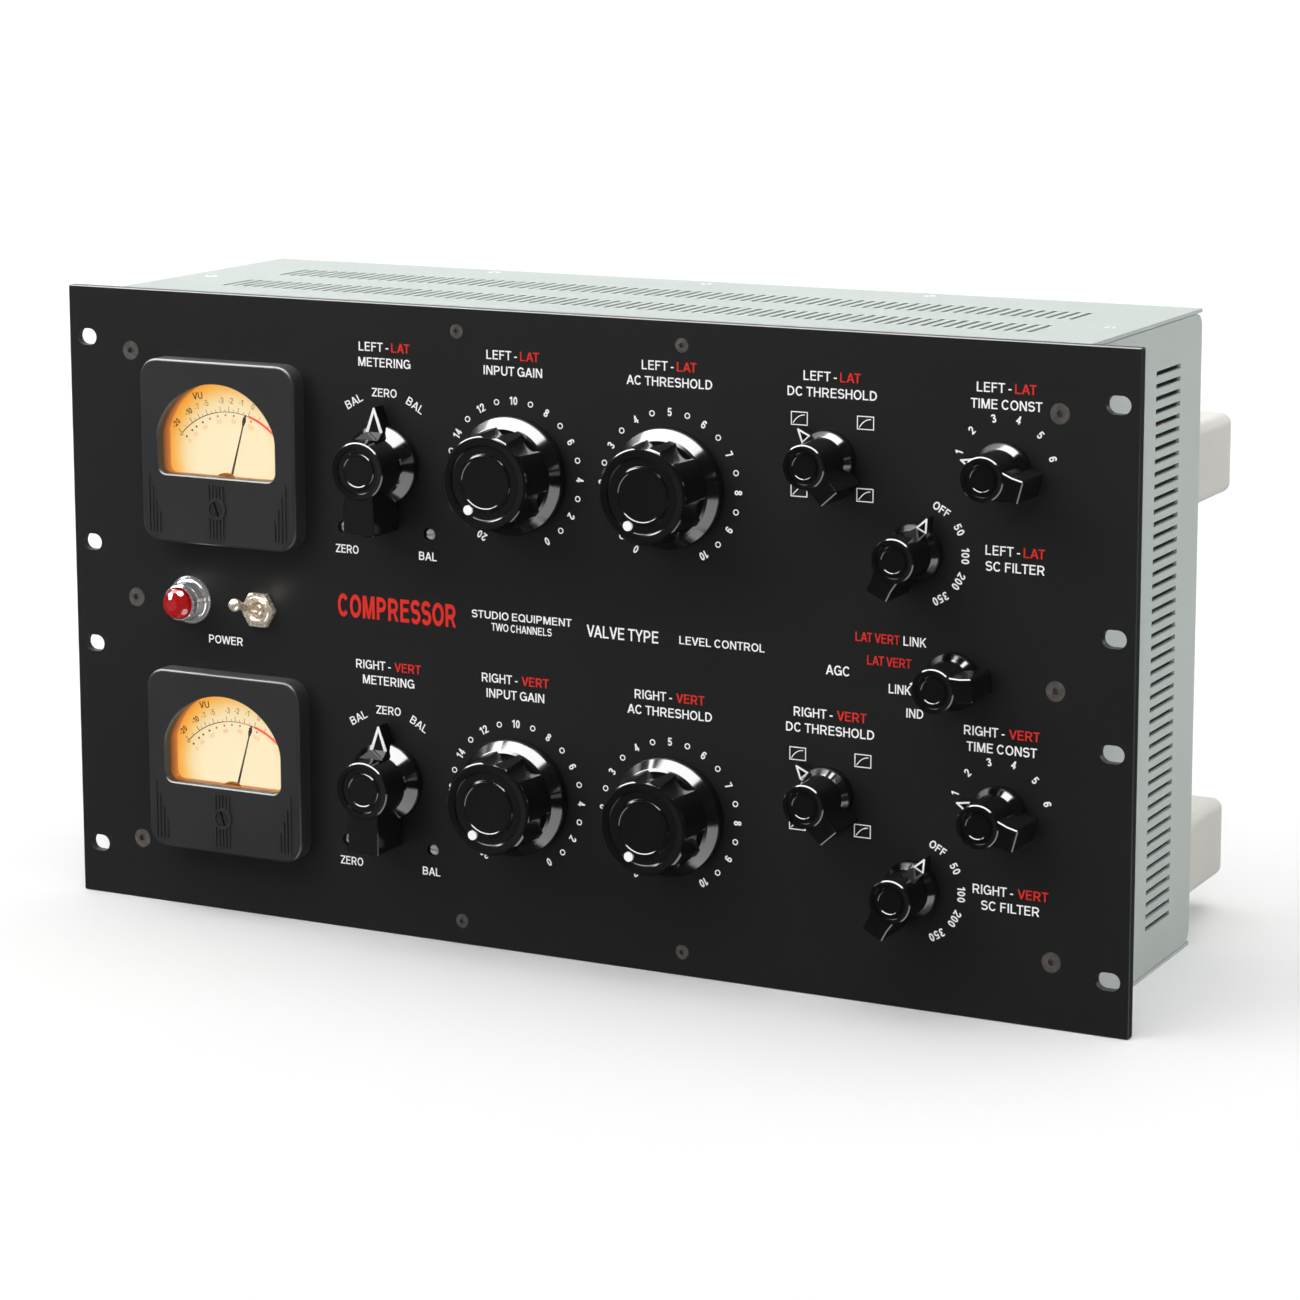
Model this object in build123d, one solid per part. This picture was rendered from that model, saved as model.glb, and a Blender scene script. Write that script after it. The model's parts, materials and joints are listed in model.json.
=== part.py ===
"""Two-channel valve rack compressor, six rack units high.

Frame: origin at the centre of the rack-slot pattern on the rear (mounting) face of the
front panel; +X to the right seen from the front, +Y towards the rear, +Z up.
Every sub-part is written to parts/NODE.step, in millimetres.
"""
import math
import os

from build123d import *

os.makedirs("parts", exist_ok=True)

# ---------------------------------------------------------------- driving dimensions
PANEL_W, PANEL_H, PANEL_T = 482.6, 265.9, 4.0      # 19 inch x 6U panel
SLOT_X = 232.55                                    # rack slots: half of 465.1 mm
SLOT_Z = (111.1, 22.2)                             # outer and inner slot rows
SLOT_L, SLOT_R = 10.0, 3.6                         # slot length, half width
CASE_W = 438.0                                     # over the side plates
CASE_D = 130.0                                     # panel rear face to case rear
SHEET = 1.5                                        # case sheet thickness
TOP_Z, BOT_Z = 132.5, -133.2                       # outer faces of the covers
COVER_GAP = 0.3                                    # shadow gap under each cover
CORNER_R = 6.0                                     # rear corner radius of the side plates
FLANGE = 14.5                                      # width of the folded flanges

VENT_PITCH, VENT_W = 5.0, 2.0
TOP_VENTS, TOP_VENT_L, TOP_PITCH, TOP_VENT_X = 75, 23.2, 4.962, 0.8
TOP_VENT_Y = (38.3, 83.3)
SIDE_VENTS, SIDE_VENT_L, SIDE_VENT_Y = 46, 28.5, 90.5

CH = -133.35                                       # lower channel offset (three rack units)
METER = (-162.7, 66.1)
METERING = (-85.4, 66.4)
GAIN = (-24.7, 66.4)
AC_THR = (45.7, 66.4)
DC_THR = (115.2, 82.9)
TIME_C = (187.7, 83.2)
SC_FILT = (151.9, 49.3)
AGC = (168.4, 0.3)
ZERO_TRIM = (-105.7, 38.5)
BAL_TRIM = (-64.8, 38.5)
LAMP = (-182.4, 1.25)
TOGGLE = (-147.5, 0.0)

SHAFT_R = 3.0
RUN = 0.05                                         # radial running clearance
GAP = 0.8                                          # knob skirt above the panel

F = -PANEL_T                                       # y of the panel front face
SIDE_TOP = TOP_Z - SHEET - COVER_GAP               # 130.7
SIDE_BOT = BOT_Z + SHEET + COVER_GAP               # -131.4
WEB_OUT = CASE_W / 2
WEB_IN = WEB_OUT - SHEET

parts = {}


# ---------------------------------------------------------------- helpers
def face_loc(x, z, h=0.0):
    """Local X, Y, Z become panel right, panel up, and straight out of the panel front."""
    return Pos(x, F - h, z) * Rot(90, 0, 0)


def rear_loc(x, z, y):
    """Local Z points out of the rear; local X to the left seen from the front."""
    return Pos(x, y, z) * Rot(-90, 0, 0)


def lathe(points):
    """Solid of revolution about local Z from (radius, height) points."""
    wire = Polyline(*[(r, 0, z) for r, z in points], close=True)
    return revolve(make_face(wire), Axis.Z, 360)


def cyl(r, z0, z1, x=0.0, y=0.0):
    return Pos(x, y, z0) * Cylinder(r, z1 - z0, align=(Align.CENTER, Align.CENTER, Align.MIN))


def block(x0, x1, y0, y1, z0, z1):
    return Pos((x0 + x1) / 2, (y0 + y1) / 2, (z0 + z1) / 2) * Box(x1 - x0, y1 - y0, z1 - z0)


def prism(points, z0, z1):
    return Pos(0, 0, z0) * extrude(make_face(Polyline(*points, close=True)), z1 - z0)


def hexagon(af, z0, z1):
    return Pos(0, 0, z0) * extrude(RegularPolygon(af / math.sqrt(3), 6), z1 - z0)


def turned(shape, angle):
    """Turns a local shape clockwise by angle, seen from the front."""
    return Rot(0, 0, -angle) * shape


def out(name, *solids):
    flat = []
    for s in solids:
        flat += list(s.solids())
    shape = flat[0] if len(flat) == 1 else Compound(children=flat)
    shape.label = name
    parts[name] = shape
    export_step(shape, f"parts/{name}.step")


# ---------------------------------------------------------------- control positions
SMALL = {
    "left_dc_threshold": (DC_THR[0], DC_THR[1], -42.0, 25.2),
    "right_dc_threshold": (DC_THR[0], DC_THR[1] + CH, -42.0, 24.0),
    "left_time_constant": (TIME_C[0], TIME_C[1], -75.0, 24.0),
    "right_time_constant": (TIME_C[0], TIME_C[1] + CH, -75.0, 24.0),
    "left_sc_filter": (SC_FILT[0], SC_FILT[1], 26.0, 24.0),
    "right_sc_filter": (SC_FILT[0], SC_FILT[1] + CH, 28.0, 24.0),
    "agc": (AGC[0], AGC[1], -96.0, 23.0),
}
MEDIUM = {
    "left_metering": (METERING[0], METERING[1], 0.0),
    "right_metering": (METERING[0], METERING[1] + CH, 0.0),
}
BIG = {
    "left_input_gain": (GAIN[0], GAIN[1], -146.5),
    "right_input_gain": (GAIN[0], GAIN[1] + CH, -149.5),
    "left_ac_threshold": (AC_THR[0], AC_THR[1], -153.5),
    "right_ac_threshold": (AC_THR[0], AC_THR[1] + CH, -153.5),
}
TRIMS = {
    "left_zero_trimmer": (ZERO_TRIM[0], ZERO_TRIM[1]),
    "left_balance_trimmer": (BAL_TRIM[0], BAL_TRIM[1]),
    "right_zero_trimmer": (ZERO_TRIM[0], ZERO_TRIM[1] + CH),
    "right_balance_trimmer": (BAL_TRIM[0], BAL_TRIM[1] + CH),
}
METERS = {"left": (METER[0], METER[1]), "right": (METER[0], METER[1] + CH)}
SIDE_SCREWS = [(x, z) for x in (-210.2, 209.4) for z in (-106.5, 0.0, 106.4)]
RAIL_SCREWS = [(sx * 51.0, sz * 123.3) for sx in (-1, 1) for sz in (-1, 1)]


# ---------------------------------------------------------------- front panel
def make_front_panel():
    sk = RectangleRounded(PANEL_W, PANEL_H, 0.6)
    for x in (-SLOT_X, SLOT_X):
        for z in SLOT_Z:
            for s in (-1, 1):
                sk -= Pos(x, s * z) * SlotOverall(SLOT_L, 2 * SLOT_R)
    for x, z, *_ in list(SMALL.values()) + list(MEDIUM.values()) + list(BIG.values()):
        sk -= Pos(x, z) * Circle(4.85)
    for x, z in TRIMS.values():
        sk -= Pos(x, z) * Circle(2.9)
    for x, z in METERS.values():
        sk -= Pos(x, z) * Circle(34.8)
    sk -= Pos(*LAMP) * Circle(7.0)
    sk -= Pos(*TOGGLE) * Circle(6.05)
    for x, z in SIDE_SCREWS:
        sk -= Pos(x, z) * Circle(2.15)
    for x, z in RAIL_SCREWS:
        sk -= Pos(x, z) * Circle(1.65)
    body = face_loc(0, 0, -PANEL_T) * extrude(sk, PANEL_T)
    for x, z in SIDE_SCREWS:
        body -= face_loc(x, z) * lathe([(0, -2.3), (2.0, -2.3), (4.2, -0.1), (4.2, 0.2), (0, 0.2)])
    for x, z in RAIL_SCREWS:
        body -= face_loc(x, z) * lathe([(0, -1.9), (1.5, -1.9), (3.2, -0.2), (3.2, 0.2), (0, 0.2)])
    rim = body.edges().filter_by(lambda e: abs(e.center().Y - F) < 1e-4 and (
        abs(abs(e.center().Z) - PANEL_H / 2) < 0.01 or abs(abs(e.center().X) - PANEL_W / 2) < 0.01))
    try:
        body = chamfer(rim, 0.35)
    except Exception:
        pass
    # a shallow relief line parts each rack ear from the face behind the case
    for s in (-1, 1):
        xa, xb = sorted((s * 219.9, s * 220.5))
        body -= block(xa, xb, -0.3, 0.5, -PANEL_H / 2 - 1, PANEL_H / 2 + 1)
    return body


def csk_screw(r_head, r_shank, af, depth, length):
    """Countersunk socket screw, its head flush with local z = 0."""
    s = lathe([(0, 0), (r_head - 0.12, 0), (r_head, -0.25), (r_shank, -0.25 - (r_head - r_shank)),
               (r_shank, -length), (0, -length)])
    return s - hexagon(af, -depth, 0.5)


out("front_panel", make_front_panel())
out("panel_screws",
    *[face_loc(x, z) * csk_screw(4.0, 2.0, 2.5, 1.6, 11.0) for x, z in SIDE_SCREWS],
    *[face_loc(x, z) * csk_screw(3.0, 1.5, 2.0, 1.2, 9.5) for x, z in RAIL_SCREWS])


# ---------------------------------------------------------------- case sheets
TOP_SCREWS = [(-207.4, 54.4), (207.4, 54.4), (-103.6, 121.7), (0.0, 121.7), (103.6, 121.7)]
REAR_SCREWS = [(sx * 209.0, z) for sx in (-1, 1) for z in (-70.0, 20.0, 110.0)]


def make_cover(top):
    sk = Pos(0, CASE_D / 2) * Rectangle(CASE_W, CASE_D)
    if top:
        for y in TOP_VENT_Y:
            vents = [Pos(TOP_VENT_X + (i - (TOP_VENTS - 1) / 2) * TOP_PITCH, y) * Rectangle(VENT_W, TOP_VENT_L)
                     for i in range(TOP_VENTS)]
            sk -= Sketch() + vents
    for x, y in TOP_SCREWS:
        sk -= Pos(x, y) * Circle(1.65)
    z0 = TOP_Z - SHEET if top else BOT_Z
    plate = Pos(0, 0, z0) * extrude(sk, SHEET)
    if top:
        flange = block(-196, 196, 0, SHEET, TOP_Z - 16.5, TOP_Z - SHEET)
    else:
        flange = block(-196, 196, 0, SHEET, BOT_Z + SHEET, BOT_Z + 16.5)
    body = plate + flange
    for x, z in RAIL_SCREWS:
        body -= face_loc(x, z, -PANEL_T - 5) * cyl(1.53, 0, 6)
    for x, y in TOP_SCREWS:
        if top:
            body -= Pos(x, y, TOP_Z) * lathe([(0, 0.2), (3.1, 0.2), (3.1, -0.4), (1.9, -1.6), (0, -1.6)])
        else:
            body -= Pos(x, y, BOT_Z) * lathe([(0, -0.2), (3.1, -0.2), (3.1, 0.4), (1.9, 1.6), (0, 1.6)])
    return body


def make_side(sign):
    """Side plate with folded flanges at the top, bottom, front and rear."""
    pts = [(0, SIDE_BOT), (CASE_D, SIDE_BOT), (CASE_D, SIDE_TOP), (0, SIDE_TOP)]
    prof = make_face(Polyline(*[(0, y, z) for y, z in pts], close=True))
    web = Pos(WEB_IN, 0, 0) * extrude(prof, SHEET, dir=(1, 0, 0))
    corner = web.edges().filter_by(Axis.X).filter_by(lambda e: e.center().Y > CASE_D - 1)
    web = fillet(corner, CORNER_R)
    cutter = Sketch() + [Pos(SIDE_VENT_Y, -0.35 + (i - (SIDE_VENTS - 1) / 2) * VENT_PITCH)
                         * Rectangle(SIDE_VENT_L, VENT_W) for i in range(SIDE_VENTS)]
    vents = Pos(WEB_IN - 1, 0, 0) * extrude(Plane.YZ * cutter, SHEET + 2)
    web -= vents
    x0 = WEB_IN - FLANGE
    body = web
    body += block(x0, WEB_IN + 0.2, 0, 112.0, SIDE_TOP - SHEET, SIDE_TOP)
    body += block(x0, WEB_IN + 0.2, 0, 112.0, SIDE_BOT, SIDE_BOT + SHEET)
    body += block(x0, WEB_IN + 0.2, 0, SHEET, SIDE_BOT, SIDE_TOP)
    body += block(x0, WEB_IN + 0.2, CASE_D - 2 * SHEET - 0.1, CASE_D - SHEET - 0.1, -118.0, 118.0)
    for x, z in SIDE_SCREWS:
        if x * sign > 0:
            body -= face_loc(abs(x), z, -PANEL_T - 5) * cyl(2.03, 0, 6)
    for x, y in TOP_SCREWS:
        if x > 150:
            body -= Pos(x, y, 0) * cyl(1.53, SIDE_BOT - 1, SIDE_TOP + 1)
    for x, z in REAR_SCREWS:
        if x > 0:
            body -= rear_loc(x, z, CASE_D - 6) * cyl(1.53, 0, 5)
    return body if sign > 0 else mirror(body, Plane.YZ)


XLR_HOLE_R = 11.8
IN_XLR = [(124.0, 64.0), (124.0, -102.0)]
OUT_XLR = [(62.0, 64.0), (62.0, -102.0)]
INLET = (-176.0, -14.0)
CAN_X0, CAN_X1, CAN_Y1 = 176.0, 212.0, 193.5
CAN_Z = (64.3, -102.3)
CAN_H = 34.0


def make_rear():
    """Rear panel: a sheet folded forwards at the top and bottom with a large bend."""
    outer = make_face(Polyline((0, 108.0, SIDE_BOT), (0, CASE_D, SIDE_BOT), (0, CASE_D, SIDE_TOP),
                               (0, 108.0, SIDE_TOP), close=True))
    solid = Pos(-WEB_IN + 0.2, 0, 0) * extrude(outer, 2 * WEB_IN - 0.4, dir=(1, 0, 0))
    e = solid.edges().filter_by(Axis.X).filter_by(lambda e: e.center().Y > CASE_D - 1)
    solid = fillet(e, CORNER_R)
    inner = make_face(Polyline((0, 100.0, SIDE_BOT + SHEET), (0, CASE_D - SHEET, SIDE_BOT + SHEET),
                               (0, CASE_D - SHEET, SIDE_TOP - SHEET), (0, 100.0, SIDE_TOP - SHEET),
                               close=True))
    cut = Pos(-WEB_OUT - 5, 0, 0) * extrude(inner, 2 * WEB_OUT + 10, dir=(1, 0, 0))
    e = cut.edges().filter_by(Axis.X).filter_by(lambda e: e.center().Y > CASE_D - 3)
    cut = fillet(e, CORNER_R - SHEET)
    body = solid - cut
    # the folded edges stop short of the side plates' own flanges
    for s in (-1, 1):
        xa, xb = sorted((s * (WEB_IN - FLANGE - 0.5), s * (WEB_OUT + 2)))
        body -= block(xa, xb, 100.0, CASE_D - 17.9 + 0.1, SIDE_BOT - 1, SIDE_TOP + 1)
    for x, z in IN_XLR + OUT_XLR:
        body -= rear_loc(x, z, CASE_D - 3) * cyl(XLR_HOLE_R, 0, 5)
    body -= block(INLET[0] - 13.7, INLET[0] + 13.7, CASE_D - 3, CASE_D + 1, INLET[1] - 10.0, INLET[1] + 10.0)
    for z in CAN_Z:
        body -= rear_loc((CAN_X0 + CAN_X1) / 2, z, CASE_D - 3) * cyl(6.0, 0, 5)
    for x, z in REAR_SCREWS:
        body -= rear_loc(x, z, CASE_D - 3) * cyl(1.65, 0, 5)
    for x, y in TOP_SCREWS:
        if y > 100:
            body -= Pos(x, y, 0) * cyl(1.53, SIDE_BOT - 1, SIDE_TOP + 1)
    return body


def pan_screw(length):
    """Pan head screw with a cross recess; the head's underside is at local z = 0."""
    s = lathe([(0, -length), (1.5, -length), (1.5, 0), (2.85, 0), (2.85, 0.9), (2.35, 1.6), (1.3, 1.9), (0, 1.95)])
    s -= block(-1.5, 1.5, -0.3, 0.3, 1.0, 2.5)
    s -= block(-0.3, 0.3, -1.5, 1.5, 1.0, 2.5)
    return s


out("top_cover", make_cover(True))
out("bottom_cover", make_cover(False))
out("right_side_plate", make_side(1))
out("left_side_plate", make_side(-1))
out("rear_panel", make_rear())
out("case_screws",
    *[Pos(x, y, TOP_Z) * csk_screw(2.95, 1.5, 2.0, 1.1, 6.0) for x, y in TOP_SCREWS],
    *[Pos(x, y, BOT_Z) * Rot(180, 0, 0) * csk_screw(2.95, 1.5, 2.0, 1.1, 6.0) for x, y in TOP_SCREWS],
    *[rear_loc(x, z, CASE_D) * pan_screw(6.0) for x, z in REAR_SCREWS])


# ---------------------------------------------------------------- knobs and shafts
def big_knob():
    """Fluted knob with a wide skirt and a stepped face; its pointer side is local +Y."""
    r0, r1, z0, z1 = 20.6, 19.3, 9.0, 25.0
    body = lathe([(0, 3.0), (r0, 3.0), (r0, z0), (r1, z1 - 0.9), (r1 - 0.25, z1 - 0.4), (r1 - 0.7, z1 - 0.08), (r1 - 1.2, z1),
                  (15.6, z1 - 0.1), (15.2, z1 - 0.3), (14.9, z1 - 0.9), (11.9, z1 - 0.9), (11.5, z1 - 0.3), (11.1, z1 - 0.1),
                  (10.4, z1 - 0.1), (10.1, z1 - 0.4), (0, z1 - 0.45)])
    for k in range(10):
        a = math.radians(8.0 + 36.0 * k)
        c0, c1 = 28.45, 28.0
        p0 = Vector(c0 * math.sin(a), c0 * math.cos(a), z0 - 6.0)
        p1 = Vector((c1 - (c0 - c1) * 0.1) * math.sin(a), (c1 - (c0 - c1) * 0.1) * math.cos(a), z1 + 1.6)
        axis = Plane(origin=p0, z_dir=(p1 - p0))
        body -= axis * cyl(9.7, -1.0, (p1 - p0).length + 2.0)
    skirt = lathe([(0, GAP), (24.2, GAP), (24.3, 1.2), (24.3, 4.6), (24.0, 5.2), (20.9, 8.5), (19.8, 9.3), (17.0, 9.6), (0, 9.6)])
    body += skirt
    body -= cyl(17.5, 0, 4.2)
    body -= cyl(9.0, 0, 6.6)
    body -= cyl(SHAFT_R + 0.02, 0, 18.3)
    return body


def lever_knob(face_r, height, skirt_r, skirt_h, lever_w0, lever_w1, lever_l, tip_r, tip_w, tip_b, tip_h, cav_r):
    """Bar knob: stepped round face, a lever towards local -Y and a pointer wedge towards +Y."""
    k = face_r
    col = lathe([(0, skirt_h), (k + 0.7, skirt_h), (k + 0.05, height - 1.4), (k + 0.05, height - 0.5), (k - 0.4, height),
                 (k * 0.80, height - 0.1), (k * 0.77, height - 0.75), (k * 0.66, height - 0.75),
                 (k * 0.62, height - 0.1), (k * 0.55, height - 0.1), (k * 0.52, height - 0.4), (0, height - 0.4)])
    lever = prism([(-lever_w0, -k * 0.45), (lever_w0, -k * 0.45), (lever_w1, -k - (lever_l - k) * 0.35),
                   (lever_w1, -lever_l), (-lever_w1, -lever_l), (-lever_w1, -k - (lever_l - k) * 0.35)], 1.6, height - 0.6)
    ring = cyl(k * 0.98, height - 1.0, height + 1)
    lever -= ring
    lever = chamfer(lever.edges().filter_by(lambda e: e.center().Y < -lever_l + 0.01 or (
        abs(e.center().Z - (height - 0.6)) < 0.01 and e.center().Y < -k * 0.99)), 0.45)
    skirt = lathe([(0, GAP), (skirt_r - 0.1, GAP), (skirt_r, GAP + 0.4), (skirt_r, skirt_h - 0.6), (skirt_r - 0.3, skirt_h),
                   (k + 1.0, skirt_h + 0.75 * (skirt_r - k)), (k + 0.3, skirt_h + 0.75 * (skirt_r - k) + 1.0), (0, skirt_h + 0.75 * (skirt_r - k) + 1.0)])
    wedge = prism([(-tip_w, k * 0.5), (tip_w, k * 0.5), (tip_w, tip_b), (0.25, tip_r), (-0.25, tip_r), (-tip_w, tip_b)], 1.2, tip_h)
    sw, rise = tip_w * 1.35, height * 0.66
    spine = prism([(-sw, 0), (sw, 0), (sw, k + 0.2), (tip_w * 0.97, tip_b), (-tip_w * 0.97, tip_b), (-sw, k + 0.2)], 2.0, rise)
    cut = Plane(origin=(0, tip_b, tip_h), z_dir=(0, rise - tip_h, tip_b - k - 0.1)) * Box(60, 60, 30, align=(Align.CENTER, Align.CENTER, Align.MIN))
    spine -= cut
    body = col + lever + skirt + wedge + spine
    body -= cyl(cav_r, 0, 6.4)
    body -= cyl(SHAFT_R + 0.02, 0, height - 6.0)
    return body


def small_knob(height):
    return lever_knob(8.65, height, 11.3, 5.2, 5.7, 4.6, 15.9, 16.2, 2.4, 10.6, 7.0, 8.6)


def medium_knob():
    return lever_knob(11.9, 22.1, 16.6, 4.2, 6.6, 7.25, 26.7, 24.7, 3.95, 14.4, 8.1, 12.5)


def knob_shaft(length):
    """Control shaft with a flat for the knob's grub screw, from inside the control to the knob."""
    s = cyl(SHAFT_R, -PANEL_T - 8.0, length)
    return s - block(-4, 4, 2.4, 4, length - 9.0, length + 1)


for name, (x, z, ang) in BIG.items():
    out(name + "_knob", face_loc(x, z) * turned(big_knob(), ang))
    out(name + "_shaft", face_loc(x, z) * turned(knob_shaft(18.0), ang))
for name, (x, z, ang) in MEDIUM.items():
    out(name + "_knob", face_loc(x, z) * turned(medium_knob(), ang))
    out(name + "_shaft", face_loc(x, z) * turned(knob_shaft(15.8), ang))
for name, (x, z, ang, h) in SMALL.items():
    out(name + "_knob", face_loc(x, z) * turned(small_knob(h), ang))
    out(name + "_shaft", face_loc(x, z) * turned(knob_shaft(h - 6.3), ang))


# ---------------------------------------------------------------- controls behind the panel
def control_body(r, depth, square):
    """Switch or potentiometer with a threaded bushing that stands through the panel."""
    front = -PANEL_T
    if square:
        body = Pos(0, 0, front - depth) * extrude(RectangleRounded(2 * r, 2 * r, 3.0), depth)
    else:
        body = cyl(r, front - depth, front)
        body -= cyl(r + 2, front - depth * 0.55, front - depth * 0.45) - cyl(r - 0.8, front - depth, front)
    body += cyl(4.75, front - 1, 5.4)
    for dx in (-0.55, 0.0, 0.55):
        body += block(dx * r - 0.8, dx * r + 0.8, -r - 4.0, -r + 2.0, front - depth * 0.6 - 0.4, front - depth * 0.6 + 0.4)
    body -= cyl(SHAFT_R + RUN, front - 8.6, 6)
    return body


out("rotary_switches",
    *[face_loc(v[0], v[1]) * control_body(12.5, 24.0, False) for v in list(SMALL.values()) + list(MEDIUM.values())])


def trimmer_body():
    body = Pos(0, 0, -PANEL_T - 20.0) * extrude(RectangleRounded(13.0, 13.0, 1.0), 18.5)
    body += cyl(2.8, -PANEL_T - 2.0, -3.2)
    body -= cyl(2.0 + RUN, -PANEL_T - 9.0, 1)
    return body


out("potentiometer_bodies",
    *[face_loc(v[0], v[1]) * control_body(19.0, 28.0, True) for v in BIG.values()],
    *[face_loc(x, z) * trimmer_body() for x, z in TRIMS.values()])


def trimmer_screw():
    s = cyl(2.0, -PANEL_T - 8.6, -2.9) + lathe([(0, -3.0), (2.35, -3.0), (2.35, -1.9), (2.1, -1.5), (0, -1.4)])
    return s - block(-2.6, 2.6, -0.4, 0.4, -2.5, 0.5)


for i, (name, (x, z)) in enumerate(TRIMS.items()):
    out(name, face_loc(x, z) * turned(trimmer_screw(), (-4, -8, 6, 3)[i]))


# ---------------------------------------------------------------- power switch and lamp
def toggle_body():
    """Bushing with a conical mouth, and the contact box behind the panel."""
    body = Pos(0, 0, -PANEL_T - 20.0) * extrude(RectangleRounded(13.0, 27.0, 1.0), 20.0)
    body += lathe([(0, -PANEL_T - 0.5), (6.0, -PANEL_T - 0.5), (6.0, 3.0), (5.6, 3.4), (0, 3.4)])
    body -= lathe([(0, -2.7), (2.98, -2.7), (2.98, 1.4), (4.6, 3.6), (0, 3.6)])
    for dy in (-8, 0, 8):
        body += block(-3, 3, dy - 0.4, dy + 0.4, -PANEL_T - 27.0, -PANEL_T - 19.0)
    return body


TOGGLE_TILT = 16.2
TOGGLE_PIVOT_H = 0.8


def toggle_lever():
    s = Sphere(2.9)
    s += lathe([(0, 1.0), (1.75, 1.0), (1.6, 4.0), (1.6, 12.0), (1.85, 17.5), (0, 17.5)])
    s += Pos(0, 0, 19.1) * Sphere(2.75)
    return s


def nut(af, t, hole_r):
    n = hexagon(af, 0.0, t)
    n &= lathe([(0, 0), (af / math.sqrt(3), 0), (af / math.sqrt(3), t - 0.5), (af / math.sqrt(3) - 0.9, t), (0, t)])
    return n - cyl(hole_r, -1, t + 1)


out("power_switch_body", face_loc(*TOGGLE) * toggle_body())
out("power_toggle_lever",
    face_loc(*TOGGLE, TOGGLE_PIVOT_H) * Rot(-TOGGLE_TILT, 0, 0) * toggle_lever())
out("panel_nuts",
    *[face_loc(v[0], v[1]) * nut(12.7, 2.4, 4.77) for v in list(SMALL.values()) + list(MEDIUM.values()) + list(BIG.values())],
    face_loc(*TOGGLE) * nut(14.0, 2.6, 6.02))

out("pilot_lamp_bezel", face_loc(*LAMP) * (
    lathe([(0, -26), (6.8, -26), (6.8, 0), (10.3, 0), (10.3, 0.8), (10.0, 1.35), (9.4, 1.6), (9.0, 1.7), (9.0, 2.7), (8.8, 3.1),
           (8.5, 3.3), (7.7, 5.6), (7.4, 6.1), (7.35, 8.0), (7.55, 8.3), (7.6, 8.9), (7.45, 9.4), (7.15, 9.6), (0, 9.6)])
    - cyl(6.3, -22, -2.0) - cyl(6.9, 1.2, 10.0) - cyl(5.2, -3, 2.0)))


def jewel():
    """Faceted dome: three rings of twelve flats and a small table, hollow behind."""
    def ring(r, h, slope, turn, z0, z1):
        apothem = r + (h - z0) * math.tan(math.radians(slope))
        poly = RegularPolygon(apothem / math.cos(math.pi / 12), 12, rotation=turn)
        return Pos(0, 0, z0) * extrude(poly, z1 - z0, taper=slope)
    dome = cyl(6.75, 9.2, 14.5)
    dome &= ring(6.72, 9.3, 12.0, 0.0, 9.0, 14.7)
    dome &= ring(6.3, 11.3, 34.0, 15.0, 9.0, 14.7)
    dome &= ring(5.1, 13.1, 62.0, 0.0, 11.0, 14.7)
    s = cyl(6.75, 1.3, 9.3) + dome
    return s - lathe([(0, 1.0), (4.6, 1.0), (4.6, 8.0), (2.5, 10.5), (0, 11.2)])


out("pilot_lamp_jewel", face_loc(*LAMP) * jewel())


# ---------------------------------------------------------------- meters
FACE_W, FACE_H, FACE_T, FACE_DX = 76.3, 78.0, 8.5, 0.55
WIN_HALF, WIN_LOW, WIN_ARC_R, WIN_ARC_Z = 29.0, -9.9, 30.3, -0.7
PIVOT_DZ = -16.0                                   # needle pivot below the meter centre
COVER_R = 7.2                                      # round cover over the pivot
NEEDLE_L, NEEDLE_REST = 33.4, 15.6
DEEP = -1.4                                        # dial and needle below the panel face line
SCREW_DZ = -23.2
BARREL_R, BARREL_IN, BARREL_D = 34.5, 32.6, 34.0


def window_face(grow=0.0):
    w = WIN_HALF + grow
    r = WIN_ARC_R + grow
    low = WIN_LOW - grow
    box_ = Pos(0, (low + 40) / 2) * Rectangle(2 * w, 40 - low)
    arch = box_ & (Pos(0, WIN_ARC_Z) * Circle(r) + Pos(0, -15) * Rectangle(120, 24))
    arch = fillet(arch.vertices().filter_by(lambda v: v.Y > 0), 16.0)
    return fillet(arch.vertices().filter_by(lambda v: v.Y < low + 0.1), 4.0)


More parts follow.
